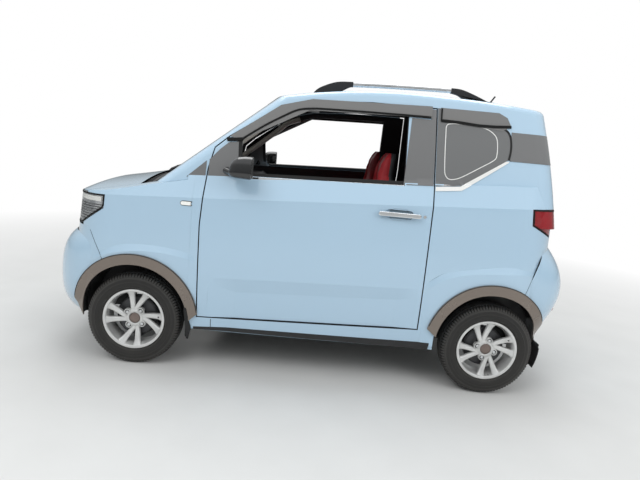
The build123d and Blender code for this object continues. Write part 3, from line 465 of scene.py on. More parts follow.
def makeWorld():
    scene = bpy.context.scene
    scene.view_settings.view_transform = "Standard"
    world = bpy.data.worlds.new("studioWorld")
    scene.world = world
    world.use_nodes = True
    nodes, links = world.node_tree.nodes, world.node_tree.links
    split = nodes.new("ShaderNodeSeparateXYZ")
    links.new(nodes.new("ShaderNodeTexCoord").outputs["Generated"], split.inputs["Vector"])
    ramp = nodes.new("ShaderNodeValToRGB")
    stops = ramp.color_ramp.elements
    low, middle, high = studio["sky"]
    for stop, (position, color) in zip(list(stops), (low, high)):
        stop.position = position
        stop.color = (*color, 1)
    stops.new(middle[0]).color = (*middle[1], 1)
    links.new(rangeNode(nodes, links, split.outputs["Z"], -1, 1, 0, 1), ramp.inputs["Fac"])
    back = nodes["Background"]
    links.new(ramp.outputs["Color"], back.inputs["Color"])
    back.inputs["Strength"].default_value = studio["world"]
    shown = nodes.new("ShaderNodeBackground")  # plain white for the camera alone
    shown.inputs["Color"].default_value = (1, 1, 1, 1)
    mix = nodes.new("ShaderNodeMixShader")
    links.new(nodes.new("ShaderNodeLightPath").outputs["Is Camera Ray"], mix.inputs["Fac"])
    links.new(back.outputs["Background"], mix.inputs[1])
    links.new(shown.outputs["Background"], mix.inputs[2])
    links.new(mix.outputs["Shader"], nodes["World Output"].inputs["Surface"])


def makeFloor():
    # pale paint that fades to white far from the car
    mat, nodes, links, surface = newMaterial("floorPaint")
    bpy.ops.mesh.primitive_plane_add(size=60, location=(0, 0, -0.0005))
    floor = bpy.context.object
    floor.name = "floor"
    surface.inputs["Roughness"].default_value = 0.85
    strength = rangeNode(nodes, links, noiseNode(nodes, links, 3), 0.3, 0.7, 0.98, 1.02)
    links.new(vectorNode(nodes, links, "SCALE", studio["floor"], strength), surface.inputs["Base Color"])
    reach = vectorNode(nodes, links, "LENGTH", nodes.new("ShaderNodeTexCoord").outputs["Object"])
    away = rangeNode(nodes, links, reach, studio["fadeStart"], studio["fadeEnd"], 0, 1)
    seen = nodes.new("ShaderNodeLightPath").outputs["Is Camera Ray"]
    white = nodes.new("ShaderNodeEmission")
    white.inputs["Color"].default_value = (1, 1, 1, 1)
    blend = nodes.new("ShaderNodeMixShader")
    links.new(mathNode(nodes, links, "MULTIPLY", away, seen), blend.inputs["Fac"])
    links.new(surface.outputs["BSDF"], blend.inputs[1])
    links.new(white.outputs["Emission"], blend.inputs[2])
    links.new(blend.outputs["Shader"], nodes["Material Output"].inputs["Surface"])
    floor.data.materials.append(mat)


makeCamera()
makeWorld()
makeFloor()
for name, settings in studio["lamps"].items():
    addLamp(name, *settings)
for name, obj in cadNodes.items():
    for index in range(len(obj.data.materials)):
        obj.data.materials[index] = mats[nodeSlot[name]]
print("camera, studio and materials set")

# shapes used by many pieces


def meshObject(name, verts, faces, smooth=True):
    data = bpy.data.meshes.new(name)
    data.from_pydata([tuple(v) for v in verts], [], [tuple(f) for f in faces])
    data.update()
    if smooth:
        data.polygons.foreach_set("use_smooth", [True] * len(data.polygons))
    return placed(name, data)


def finishPiece(obj, material, body, nodes=(), bevel=0.0, angle=35):
    obj.data.materials.clear()
    obj.data.materials.append(mats[material])
    if bevel:
        rounded = obj.modifiers.new("edges", "BEVEL")
        rounded.width = bevel
        rounded.segments = 2
        rounded.limit_method = "ANGLE"
        rounded.angle_limit = math.radians(angle)
        rounded.harden_normals = False
    smoothByAngle(obj, angle)
    if nodes:
        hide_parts(*nodes)
    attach(obj, body)
    return obj


def smoothByAngle(obj, angle):
    mesh = obj.data
    bm = bmesh.new()
    bm.from_mesh(mesh)
    bmesh.ops.recalc_face_normals(bm, faces=bm.faces)
    limit = math.radians(angle)
    for edge in bm.edges:
        edge.smooth = len(edge.link_faces) == 2 and edge.calc_face_angle(0) < limit
    for face in bm.faces:
        face.smooth = True
    bm.to_mesh(mesh)
    bm.free()


def gridFaces(rows, columns, loopRows=False, loopColumns=False, offset=0):
    faces = []
    for i in range(rows - (0 if loopRows else 1)):
        for j in range(columns - (0 if loopColumns else 1)):
            a = i * columns + j
            b = i * columns + (j + 1) % columns
            c = ((i + 1) % rows) * columns + (j + 1) % columns
            d = ((i + 1) % rows) * columns + j
            faces.append((offset + a, offset + b, offset + c, offset + d))
    return faces


def endCaps(rows, columns):
    # the two end faces of an open row of rings
    return [tuple(range(columns))[::-1], tuple((rows - 1) * columns + k for k in range(columns))]


def plateBetween(name, near, far):
    # a flat piece between two outlines with the same number of points
    n = len(near)
    faces = [(k, (k + 1) % n, n + (k + 1) % n, n + k) for k in range(n)]
    faces += [tuple(reversed(range(n))), tuple(range(n, 2 * n))]
    return meshObject(name, near + far, faces)


def lathe(name, profile, steps=96, closed=True):
    # profile points are (radius, place along Y); turned about the Y axis
    verts = []
    for k in range(steps):
        a = tau * k / steps
        verts += [(r * math.cos(a), y, r * math.sin(a)) for r, y in profile]
    return meshObject(name, verts, gridFaces(steps, len(profile), True, closed))


def tube(name, points, radius, sides=10, closed=False, flat=1.0):
    # a round or flattened bar through the points
    path = [Vector(p) for p in points]
    count = len(path)
    verts = []
    lastNormal = None
    for i, p in enumerate(path):
        before = path[(i - 1) % count] if closed or i else p
        after = path[(i + 1) % count] if closed or i < count - 1 else p
        along = (after - before).normalized()
        if lastNormal is None:
            side = Vector((0, 0, 1)) if abs(along.z) < 0.9 else Vector((0, 1, 0))
        else:
            side = lastNormal
        normal = (side - along * side.dot(along)).normalized()
        lastNormal = normal
        other = along.cross(normal)
        r = radius[i] if isinstance(radius, (list, tuple)) else radius
        for k in range(sides):
            a = tau * k / sides
            verts.append(p + normal * math.cos(a) * r + other * math.sin(a) * r * flat)
    faces = gridFaces(count, sides, closed, True)
    if not closed:
        faces += endCaps(count, sides)
    return meshObject(name, verts, faces)


def prism(name, outline, depth, place=Matrix.Identity(4)):
    # an outline in XZ, made thick along +Y
    n = len(outline)
    verts = [(x, 0, z) for x, z in outline] + [(x, depth, z) for x, z in outline]
    faces = [tuple(range(n)), tuple(range(2 * n - 1, n - 1, -1))]
    faces += [(k, (k + 1) % n, n + (k + 1) % n, n + k) for k in range(n)]
    return meshObject(name, [place @ Vector(v) for v in verts], faces)


def roundedOutline(points, radius, steps=5):
    out = []
    n = len(points)
    for i in range(n):
        a, b, c = (Vector(points[(i + k) % n]) for k in (-1, 0, 1))
        u, v = (a - b), (c - b)
        r = radius[i] if isinstance(radius, (list, tuple)) else radius
        half = u.angle(v) / 2
        if r <= 0 or half > math.radians(88):
            out.append(tuple(b))
            continue
        cut = min(r / math.tan(half), u.length * 0.49, v.length * 0.49)
        r = cut * math.tan(half)
        start, end = b + u.normalized() * cut, b + v.normalized() * cut
        centre = b + (u.normalized() + v.normalized()).normalized() * (r / math.sin(half))
        a0 = math.atan2(start.y - centre.y, start.x - centre.x)
        a1 = math.atan2(end.y - centre.y, end.x - centre.x)
        turn = (a1 - a0 + math.pi) % tau - math.pi
        for k in range(steps + 1):
            t = a0 + turn * k / steps
            out.append((centre.x + r * math.cos(t), centre.y + r * math.sin(t)))
    return out


def blockPiece(name, low, high, bevel=0.004, segments=3, turn=None, about=None):
    bm = bmesh.new()
    bmesh.ops.create_cube(bm, size=1)
    size = Vector(high) - Vector(low)
    centre = (Vector(high) + Vector(low)) / 2
    bmesh.ops.scale(bm, vec=size, verts=bm.verts)
    bmesh.ops.bevel(bm, geom=bm.edges, offset=min(bevel, min(size) * 0.45), segments=segments,
                    affect="EDGES", profile=0.5)
    bmesh.ops.translate(bm, vec=centre, verts=bm.verts)
    if turn is not None:
        bmesh.ops.rotate(bm, cent=about or centre, matrix=turn, verts=bm.verts)
    data = bpy.data.meshes.new(name)
    bm.to_mesh(data)
    bm.free()
    return placed(name, data)


def joined(name, objects):
    # one mesh from several, each kept with its own material
    bm = bmesh.new()
    materials = []
    for obj in objects:
        mesh = obj.data
        start = len(bm.faces)
        local = []
        for mat in mesh.materials:
            if mat not in materials:
                materials.append(mat)
            local.append(materials.index(mat))
        mesh.transform(obj.matrix_world)
        bm.from_mesh(mesh)
        bm.faces.ensure_lookup_table()
        for face in bm.faces[start:]:
            face.material_index = local[face.material_index] if local else 0
        bpy.data.objects.remove(obj)
    data = bpy.data.meshes.new(name)
    bm.to_mesh(data)
    bm.free()
    for mat in materials:
        data.materials.append(mat)
    return placed(name, data)


def mirroredCopy(obj, name):
    copy = obj.copy()
    copy.data = obj.data.copy()
    copy.name = name
    bpy.context.scene.collection.objects.link(copy)
    for key in list(copy.keys()):
        del copy[key]
    copy.parent = None
    copy.matrix_world = Matrix.Identity(4)
    copy.data.transform(Matrix.Scale(-1, 4, (0, 1, 0)))
    copy.data.flip_normals()
    return copy


# places on the painted side, from the same outlines as the solids

cabinRows = [(0.950, -0.061, 0.346, 0.706), (1.300, 0.363, 0.291, 0.634), (1.650, 0.787, 0.216, 0.532)]
cabinSags = (0.080, 0.014, 0.060)
cabinRounds = (0.070, 0.110)


def circleMeet(c1, r1, c2, r2, pick):
    apart = c2 - c1
    d = np.linalg.norm(apart)
    along = (r1 * r1 - r2 * r2 + d * d) / (2 * d)
    aside = math.sqrt(max(r1 * r1 - along * along, 0))
    e = apart / d
    n = np.array((-e[1], e[0]))
    return min((c1 + e * along + n * aside, c1 + e * along - n * aside), key=pick)


def arcPoints(centre, radius, start, end, count):
    a0 = math.atan2(*(start - centre)[::-1])
    a1 = math.atan2(*(end - centre)[::-1])
    turn = (a1 - a0 + math.pi) % tau - math.pi
    a = np.linspace(a0, a0 + turn, count + 1)
    return np.stack((centre[0] + radius * np.cos(a), centre[1] + radius * np.sin(a)), 1)


def cabinLine(height):
    # the left half of the greenhouse outline at a height, from the front middle to the rear middle
    total = []
    for k in range(1, 4):
        value = 0.0
        for i, row in enumerate(cabinRows):
            term = row[k]
            for j, other in enumerate(cabinRows):
                if j != i:
                    term *= (height - other[0]) / (row[0] - other[0])
            value += term
        total.append(value)
    front, rear, half = frontAxle + total[0], rearAxle + total[1], total[2]
    frontSag, sideSag, rearSag = cabinSags
    y = half - sideSag
    frontR = (y * y + frontSag ** 2) / (2 * frontSag)
    rearR = (y * y + rearSag ** 2) / (2 * rearSag)
    chord = (rear - rearSag - front - frontSag) / 2
    sideR = (chord ** 2 + sideSag ** 2) / (2 * sideSag)
    cf = np.array((front + frontR, 0.0))
    cr = np.array((rear - rearR, 0.0))
    cs = np.array(((front + frontSag + rear - rearSag) / 2, -half + sideR))
    f, r = cabinRounds
    qf = circleMeet(cf, frontR - f, cs, sideR - f, lambda p: p[1] + p[0])
    qr = circleMeet(cr, rearR - r, cs, sideR - r, lambda p: p[1] - p[0])
    touchF = cf + (qf - cf) / np.linalg.norm(qf - cf) * frontR
    touchSF = cs + (qf - cs) / np.linalg.norm(qf - cs) * sideR
    touchR = cr + (qr - cr) / np.linalg.norm(qr - cr) * rearR
    touchSR = cs + (qr - cs) / np.linalg.norm(qr - cs) * sideR
    return np.concatenate([
        arcPoints(cf, frontR, np.array((front, 0.0)), touchF, 24)[:-1],
        arcPoints(qf, f, touchF, touchSF, 12)[:-1],
        arcPoints(cs, sideR, touchSF, touchSR, 60)[:-1],
        arcPoints(qr, r, touchSR, touchR, 14)[:-1],
        arcPoints(cr, rearR, touchR, np.array((rear, 0.0)), 24),
    ])


lineCache = {}


def cabinSide(x, z, lift=0.0):
    # the point of the left greenhouse side over a place seen from the side
    key = round(z, 4)
    if key not in lineCache:
        lineCache[key] = cabinLine(z)
    line = lineCache[key]
    y = float(np.interp(x, line[:, 0], line[:, 1]))
    if lift:
        dx = 0.004
        ahead, behind = (float(np.interp(x + s, line[:, 0], line[:, 1])) for s in (dx, -dx))
        slopeX = (ahead - behind) / (2 * dx)
        above = cabinLine(z + dx)
        slopeZ = (float(np.interp(x, above[:, 0], above[:, 1])) - y) / dx
        normal = Vector((slopeX, -1, slopeZ)).normalized()
        return Vector((x, y, z)) + normal * lift
    return Vector((x, y, z))


def flatPatch(outline, step):
    # a filled outline cut into small pieces along both directions, in XZ
    bm = bmesh.new()
    verts = [bm.verts.new((x, 0, z)) for x, z in outline]
    bm.faces.new(verts)
    xs = [p[0] for p in outline]
    zs = [p[1] for p in outline]
    for axis, low, high in ((0, min(xs), max(xs)), (2, min(zs), max(zs))):
        normal = Vector((1, 0, 0)) if axis == 0 else Vector((0, 0, 1))
        count = max(int((high - low) / step), 1)
        for k in range(1, count):
            spot = normal * (low + (high - low) * k / count)
            bmesh.ops.bisect_plane(bm, geom=bm.verts[:] + bm.edges[:] + bm.faces[:], plane_co=spot,
                                   plane_no=normal)
    bmesh.ops.triangulate(bm, faces=[f for f in bm.faces if len(f.verts) > 4])
    return bm


def sidePatch(name, outline, low, high, place=cabinSide, step=0.03):
    # a plate that follows the side between two heights over it
    bm = flatPatch(outline, step)
    bm.verts.ensure_lookup_table()
    flat = [(v.co.x, v.co.z) for v in bm.verts]
    faces = [[v.index for v in f.verts] for f in bm.faces]
    rim = [e for e in bm.edges if len(e.link_faces) == 1]
    n = len(flat)
    verts = [place(x, z, high) for x, z in flat] + [place(x, z, low) for x, z in flat]
    allFaces = [tuple(f) for f in faces] + [tuple(n + k for k in reversed(f)) for f in faces]
    for edge in rim:
        a, b = edge.verts[0].index, edge.verts[1].index
        allFaces.append((a, b, n + b, n + a))
    bm.free()
    return meshObject(name, verts, allFaces)


class SkinFinder:
    # places on chosen solids, looked for from one side of the car
    def __init__(self, names):
        verts = []
        faces = []
        for name in names:
            mesh = cadNodes[name].data
            start = len(verts)
            verts += [v.co.copy() for v in mesh.vertices]
            faces += [tuple(start + i for i in p.vertices) for p in mesh.polygons]
        self.tree = BVHTree.FromPolygons(verts, faces)

    def cast(self, origin, direction):
        return self.tree.ray_cast(Vector(origin), Vector(direction).normalized())[:2]

    def side(self, x, z, lift=0.0):
        place, normal = self.cast((x, -2, z), (0, 1, 0))
        if place is None:
            return Vector((x, -0.7, z))
        if normal.y > 0:
            normal = -normal
        return place + normal * lift

    def hit(self, origin, direction, lift):
        place, normal = self.cast(origin, direction)
        if place is None:
            return None
        if normal.dot(Vector(direction)) > 0:
            normal = -normal
        return place + normal * lift

    def front(self, y, z, lift=0.0):
        return self.hit((-3, y, z), (1, 0, 0), lift) or Vector((-1, y, z))

    def rear(self, y, z, lift=0.0):
        return self.hit((3, y, z), (-1, 0, 0), lift) or Vector((1.2, y, z))

    def within(self, x, z, lift=0.0):
        # the inner face of the left side, seen from the middle of the car
        return self.hit((x, -0.02, z), (0, -1, 0), lift) or Vector((x, -0.56, z))

    def above(self, x, y, lift=0.0):
        place, normal = self.cast((x, y, 3), (0, 0, -1))
        if place is None:
            return Vector((x, y, 1.0))
        if normal.z < 0:
            normal = -normal
        return place + normal * lift


def hugRibbon(name, skin, way, points, width, low, high, closed=False):
    # a thin band laid on a solid along a line seen from one side; places off the solid are left out
    ways = {"side": lambda a, b: ((a, -3, b), (0, 1, 0)), "front": lambda a, b: ((-3, a, b), (1, 0, 0)),
            "rear": lambda a, b: ((3, a, b), (-1, 0, 0))}
    spots = []
    for a, b in points:
        origin, direction = ways[way](a, b)
        place, normal = skin.cast(origin, direction)
        if place is None:
            continue
        if normal.dot(Vector(direction)) > 0:
            normal = -normal
        if spots and (place - spots[-1][0]).length > 0.09:
            continue
        spots.append((place, normal))
    n = len(spots)
    verts = []
    for i, (place, normal) in enumerate(spots):
        before = spots[(i - 1) % n] if closed or i else spots[i]
        after = spots[(i + 1) % n] if closed or i < n - 1 else spots[i]
        up = (before[1] + normal + after[1]).normalized()
        along = (after[0] - before[0]).normalized()
        out = up.cross(along).normalized() * width / 2
        for edge, lift in ((-out, low), (-out, high), (out, high), (out, low)):
            verts.append(place + edge + up * lift)
    faces = gridFaces(n, 4, closed, True)
    if not closed:
        faces += endCaps(n, 4)
    return meshObject(name, verts, faces)


print("shape helpers ready")

# tyres

tyre = {
    "steps": 384, "blocks": 96, "sipe": 0.0055, "groove": 0.0065, "tread": 0.2540, "shoulder": 0.236,
    "grooves": (0.0300, 0.0095),  # centre of each groove on one half
    "cutBand": (0.034, 0.0520),  # where the second row of cuts lies
    # radius, and how light the rubber is there: scuffed shoulder, clean black sidewall, and thin lighter
    # rings on the raised ridges that are painted highlight
    "tones": [(0.160, 0.50), (0.176, 0.45), (0.182, 0.22), (0.2045, 0.18), (0.2062, 0.42), (0.215, 0.20),
              (0.2235, 0.30), (0.2256, 0.75), (0.231, 0.45), (0.240, 0.85), (0.246, 0.65), (0.254, 0.40)],
}
tyreSide = [
    (0.1675, 0.0568), (0.1715, 0.0628), (0.1745, 0.0640), (0.1760, 0.0664), (0.1790, 0.0690),
    (0.1800, 0.0706),
    (0.1815, 0.0706), (0.1830, 0.0702), (0.1900, 0.0727), (0.1970, 0.0738), (0.2040, 0.0738),
    (0.2050, 0.0744),
    (0.2062, 0.0744), (0.2072, 0.0734), (0.2150, 0.0724), (0.2230, 0.0702), (0.2245, 0.0706),
    (0.2256, 0.0694),
    (0.2325, 0.0668), (0.2400, 0.0626), (0.2455, 0.0578), (0.2495, 0.0520), (0.2517, 0.0450),
    (0.2527, 0.0372),
]


def tyreProfile():
    points = [(r, -y, 1.0 if r > tyre["shoulder"] else 0.0) for r, y in tyreSide]
    for groove in tyre["grooves"]:
        for shift, deep in ((-0.0036, 0), (-0.0028, 1), (0.0028, 1), (0.0036, 0)):
            points.append((0.2538 - deep * tyre["groove"], shift - groove, 0.0))
    middle = [(tyre["tread"], 0.0, 0.0)]
    return points + middle + [(r, -y, s) for r, y, s in reversed(points)]


def buildTyre(name):
    profile = tyreProfile()
    inner = [(0.1560, 0.050, 0.0), (0.1560, -0.050, 0.0)]
    ring = profile + inner
    steps = tyre["steps"]
    per = steps // tyre["blocks"]
    verts = np.zeros((steps, len(ring), 3))
    for j, (r, y, cut) in enumerate(ring):
        for k in range(steps):
            a = tau * k / steps
            sink = tyre["sipe"] if cut and k % per == 0 else 0.0
            side = 1 if y < 0 else 3
            if cut and tyre["cutBand"][1] > abs(y) > tyre["cutBand"][0] and (k + side) % per == 0:
                sink = tyre["sipe"] * 0.6
            verts[k, j] = ((r - sink) * math.cos(a), y, (r - sink) * math.sin(a))
    obj = meshObject(name, verts.reshape(-1, 3), gridFaces(steps, len(ring), True, True))
    # the tone of each ring of rubber, and painted shade in the cuts: points sunk into a cut are set fully
    # black
    reach = np.array([r for r, y, cut in ring])
    radii, tones = zip(*tyre["tones"])
    tone = np.repeat(np.interp(reach, radii, tones)[None, :], steps, axis=0)
    flat = np.hypot(verts[:, :, 0], verts[:, :, 2])
    tone[flat < reach[None, :] - 0.002] = 0.0
    layer = obj.data.attributes.new("tone", "FLOAT", "POINT")
    layer.data.foreach_set("value", tone.reshape(-1))
    return obj


# wheels: rim, hub and four pairs of spokes

wheel = {
    "rim": [
        (0.1672, -0.0625), (0.1665, -0.0580), (0.1560, -0.0530), (0.1520, -0.0440), (0.1500, 0.0),
        (0.1520, 0.0500),
        (0.1665, 0.0580), (0.1670, 0.0635), (0.1600, 0.0630), (0.1460, 0.0480), (0.1420, 0.0),
        (0.1430, -0.0330),
        (0.1475, -0.0420), (0.1495, -0.0520), (0.1520, -0.0600), (0.1540, -0.0625), (0.1590, -0.0640),
        (0.1655, -0.0640),
    ],
    "hub": [
        (0.0300, -0.0420), (0.0330, -0.0445), (0.0400, -0.0440), (0.0450, -0.0400), (0.0520, -0.0350),
        (0.0560, -0.0300),
        (0.0560, -0.0200), (0.0300, -0.0160),
    ],
    "cap": [(0.0001, -0.0455), (0.0150, -0.0450), (0.0250, -0.0435), (0.0288, -0.0405), (0.0290, -0.0300),
            (0.0001, -0.0300)],
    "spokes": [(13, 0), (7, -32.5)],  # degrees from the pair's place at the hub and at the rim
    "nutCircle": 0.0505,
    "nutTurn": 45,
    "drum": [(0.0001, -0.004), (0.060, -0.006), (0.066, 0.000), (0.104, 0.004), (0.112, 0.012),
             (0.112, 0.040),
             (0.0001, 0.040)],
    "nut": [(0.0001, -0.0078), (0.0040, -0.0072), (0.0072, -0.0052), (0.0092, -0.0018), (0.0096, 0.0030),
            (0.0096, 0.0100), (0.0001, 0.0100)],
    "nutSeat": [(0.0130, 0.0040), (0.0130, -0.0040), (0.0142, -0.0058), (0.0164, -0.0056), (0.0184, -0.0030),
                (0.0192, 0.016), (0.0130, 0.016)],
    # the socket is a black disc at the bottom of each nut hole: painted shade in the hole
    "socket": [(0.0001, 0.0030), (0.0132, 0.0030), (0.0132, 0.0080), (0.0001, 0.0080)],
    # name, steps, place along the axle, material
    "nutParts": [("nut", 20, -0.0420, "chrome"), ("nutSeat", 28, -0.0400, "alloy_silver"),
                 ("socket", 24, -0.0400, "gap_black")],
    "spokeSection": [(-0.5, 0.95), (-0.47, 0.28), (-0.34, 0.03), (-0.12, 0.0), (0.0, 0.05), (0.12, 0.0),
                     (0.34, 0.03), (0.47, 0.28), (0.5, 0.95), (0.0, 1.0)],
    "spokeEnds": (0.036, 0.152), "spokeDepth": 0.019, "spokeSteps": 12,
}
wheelTurn = {"front_left": -8, "front_right": 25, "rear_left": -28.5, "rear_right": 50}


def buildSpoke(hubAngle, rimAngle):
    # a straight bar that widens and drops towards the rim
    verts = []
    steps = wheel["spokeSteps"]
    section = wheel["spokeSection"]
    a0, a1 = math.radians(hubAngle), math.radians(rimAngle)
    start = Vector((math.cos(a0), 0, math.sin(a0))) * wheel["spokeEnds"][0]
    end = Vector((math.cos(a1), 0, math.sin(a1))) * wheel["spokeEnds"][1]
    along = (end - start).normalized()
    across = Vector((-along.z, 0, along.x))
    for k in range(steps + 1):
        t = k / steps
        width = 0.022 + 0.014 * t + 0.012 * max(t - 0.82, 0) / 0.18
        face = -0.0405 + 0.004 * math.sin(math.pi * t) - 0.0195 * t ** 2.6
        for u, v in section:
            p = start.lerp(end, t) + across * (u * width)
            verts.append((p.x, face + v * wheel["spokeDepth"], p.z))
    faces = gridFaces(steps + 1, len(section), False, True)
    faces.append(tuple(range(len(section))))
    faces.append(tuple(steps * len(section) + k for k in reversed(range(len(section)))))
    return meshObject("spoke", verts, faces)


def colored(obj, material, angle=35):
    obj.data.materials.clear()
    obj.data.materials.append(mats[material])
    smoothByAngle(obj, angle)
    return obj


def buildWheel(name):
    parts = [colored(lathe("rim", wheel["rim"], 128), "alloy_silver"),
             colored(lathe("hub", wheel["hub"], 64), "alloy_silver")]
    for pair in range(4):
        for hubAngle, rimAngle in wheel["spokes"]:
            parts.append(colored(buildSpoke(90 * pair + 90 + hubAngle, 90 * pair + 90 + rimAngle),
                                 "alloy_silver", 50))
        a = math.radians(90 * pair + wheel["nutTurn"])
        spot = Vector((math.cos(a), 0, math.sin(a))) * wheel["nutCircle"]
        for kind, steps, face, material in wheel["nutParts"]:
            piece = lathe(kind, wheel[kind], steps)
            piece.data.transform(Matrix.Translation(spot + Vector((0, face, 0))))
            parts.append(colored(piece, material))
    parts.append(colored(lathe("cap", wheel["cap"], 40), "hub_cap"))
    parts.append(colored(lathe("drum", wheel["drum"], 64), "steel_dark"))
    valve = tube("valve", [(0.128, -0.036, 0.0), (0.131, -0.046, 0.0), (0.133, -0.056, 0.0)],
                 [0.004, 0.0035, 0.003], 10)
    parts.append(colored(valve, "rubber_black"))
    return joined(name, parts)


def makeWheels():
    firstTyre = buildTyre("tyreForm")
    firstWheel = buildWheel("wheelForm")
    for corner, degrees in wheelTurn.items():
        hub = jointPlace["spin_" + corner]
        flip = Matrix.Rotation(math.pi, 4, "Z") if "right" in corner else Matrix.Identity(4)
        place = Matrix.Translation(hub) @ flip @ Matrix.Rotation(math.radians(degrees), 4, "Y")
        for form, kind, material in ((firstTyre, "tyre", "tyre_black"), (firstWheel, "wheel", None)):
            obj = form.copy()
            obj.data = form.data.copy()
            obj.name = f"{kind}Dressed_{corner}"
            bpy.context.scene.collection.objects.link(obj)
            obj.data.transform(place)
            if material:
                finishPiece(obj, material, "wheel_" + corner, [f"tyre_{corner}"], angle=28)
            else:
                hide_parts(f"wheel_{corner}")
                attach(obj, "wheel_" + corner)
    for form in (firstTyre, firstWheel):
        bpy.data.objects.remove(form)


makeWheels()
print("wheels done")

# panels, strips and seals on the sides, built on the left and mirrored

pillarEdge = [(0.454, 1.463), (0.556, 1.463), (0.556, 1.519), (0.5800, 1.519), (0.5825, 1.463),
              (0.5890, 1.300),
              (0.5935, 1.121), (0.436, 1.113)]
sail = [(-0.589, 1.148), (-0.540, 1.206), (-0.497, 1.246), (-0.452, 1.253), (-0.426, 1.257), (-0.424, 1.200),
        (-0.418, 1.150), (-0.400, 1.078), (-0.590, 1.061)]
wingTriangle = [(-0.702, 1.049), (-0.603, 1.142), (-0.603, 1.055)]
quarterPane = [(0.5885, 1.528), (0.5900, 1.463), (0.5965, 1.300), (0.6035, 1.121), (0.735, 1.132),
               (0.752, 1.142), (0.977, 1.286), (0.987, 1.300), (0.993, 1.345),
               (0.990, 1.395), (0.977, 1.430), (0.952, 1.450), (0.919, 1.460), (0.620, 1.470), (0.612, 1.528)]
paneLine = [(0.638, 1.409), (0.639, 1.436), (0.652, 1.450), (0.700, 1.455), (0.778, 1.455), (0.830, 1.448),
            (0.869, 1.437),
            (0.903, 1.412), (0.917, 1.380), (0.919, 1.312), (0.904, 1.282), (0.832, 1.236), (0.747, 1.184),
            (0.705, 1.166),
            (0.673, 1.164), (0.653, 1.182), (0.646, 1.215), (0.641, 1.300)]
# a pale strip along the quarter's belt line: painted highlight of the body colour there
quarterHighlight = [(0.6045, 1.117), (0.733, 1.130), (0.751, 1.141), (0.969, 1.281), (0.989, 1.284),
             (0.985, 1.277), (0.958, 1.257),
             (0.778, 1.132), (0.742, 1.110), (0.6045, 1.096)]
sealLine = [(0.919, 1.460), (0.951, 1.450), (0.977, 1.430), (0.990, 1.395), (0.993, 1.345), (0.985, 1.290)]


def sideRibbon(name, points, width, low, high, closed=False, place=cabinSide):
    # a thin band along a line on the side
    flat = [Vector(p) for p in points]
    n = len(flat)
    verts = []
    for i, p in enumerate(flat):
        before = flat[(i - 1) % n] if closed or i else p
        after = flat[(i + 1) % n] if closed or i < n - 1 else p
        along = (after - before).normalized()
        out = Vector((-along.y, along.x)) * width / 2
        for edge, lift in ((p - out, low), (p - out, high), (p + out, high), (p + out, low)):
            verts.append(place(edge.x, edge.y, lift))
    faces = gridFaces(n, 4, closed, True)
    if not closed:
        faces += endCaps(n, 4)
    return meshObject(name, verts, faces)


def smoothLine(points, steps=6, closed=False):
    # a soft curve through the points
    out = []
    n = len(points)
    pts = [Vector(p) for p in points]
    for i in range(n if closed else n - 1):
        p0 = pts[(i - 1) % n] if closed or i else pts[0]
        p1, p2 = pts[i], pts[(i + 1) % n]
        p3 = pts[(i + 2) % n] if closed or i < n - 2 else pts[-1]
        for k in range(steps):
            t = k / steps
            out.append(0.5 * (2 * p1 + (p2 - p0) * t + (2 * p0 - 5 * p1 + 4 * p2 - p3) * t * t
                              + (3 * p1 - p0 - 3 * p2 + p3) * t ** 3))
    if not closed:
        out.append(pts[-1])
    return out


def bandHalf(z):
    return float(np.interp(z, [1.060, 1.300, 1.480], [0.606, 0.562, 0.518]))


def cornerBand(name, startX, low, high, lift):
    # a band from a place on the side round the rear corner to the tailgate gap
    rows, columns = 10, 26
    verts = []
    for layer in (lift, -0.002):
        for i in range(rows + 1):
            z = low + (high - low) * i / rows
            line = cabinLine(z)
            keep = [(x, y) for x, y in line if x > startX and y < -bandHalf(z)]
            head = (startX, float(np.interp(startX, line[:, 0], line[:, 1])))
            path = np.array([head] + keep)
            step = np.concatenate([[0], np.cumsum(np.linalg.norm(np.diff(path, axis=0), axis=1))])
            for j in range(columns + 1):
                s = step[-1] * j / columns
                x = float(np.interp(s, step, path[:, 0]))
                y = float(np.interp(s, step, path[:, 1]))
                s2 = min(s + 0.004, step[-1])
                s1 = max(s - 0.004, 0)
                dx = float(np.interp(s2, step, path[:, 0]) - np.interp(s1, step, path[:, 0]))
                dy = float(np.interp(s2, step, path[:, 1]) - np.interp(s1, step, path[:, 1]))
                out = Vector((dy, -dx, 0.22 * math.hypot(dx, dy))).normalized()
                verts.append(Vector((x, y, z)) + out * layer)
    across = columns + 1
    faces = gridFaces(rows + 1, across)
    n = (rows + 1) * across
    faces += [tuple(n + k for k in reversed(f)) for f in gridFaces(rows + 1, across)]
    rim = [(0, j, 0, j + 1) for j in range(columns)] + [(i, columns, i + 1, columns) for i in range(rows)]
    rim += [(rows, j + 1, rows, j) for j in range(columns)] + [(i + 1, 0, i, 0) for i in range(rows)]
    for i0, j0, i1, j1 in rim:
        a, b = i0 * across + j0, i1 * across + j1
        faces.append((a, b, n + b, n + a))
    return meshObject(name, verts, faces)


def bothSides(obj, material, leftBody, nodes=(), bevel=0.0, angle=35):
    # finishes a left piece and its mirrored twin on the right body
    rightBody = leftBody.replace("left", "right")
    twin = mirroredCopy(obj, obj.name.replace("Left", "Right"))
    finishPiece(obj, material, leftBody, nodes, bevel, angle)
    other = [n.replace("left", "right") for n in nodes]
    finishPiece(twin, material, rightBody, other, bevel, angle)
    return obj, twin


def outerPlace(skin):
    # the greenhouse side, or the body where it stands further out
    def place(x, z, lift=0.0):
        base = cabinSide(x, z, lift)
        hit = skin.hit((x, -3, z), (0, 1, 0), lift)
        return hit if hit is not None and hit.y < base.y else base
    return place


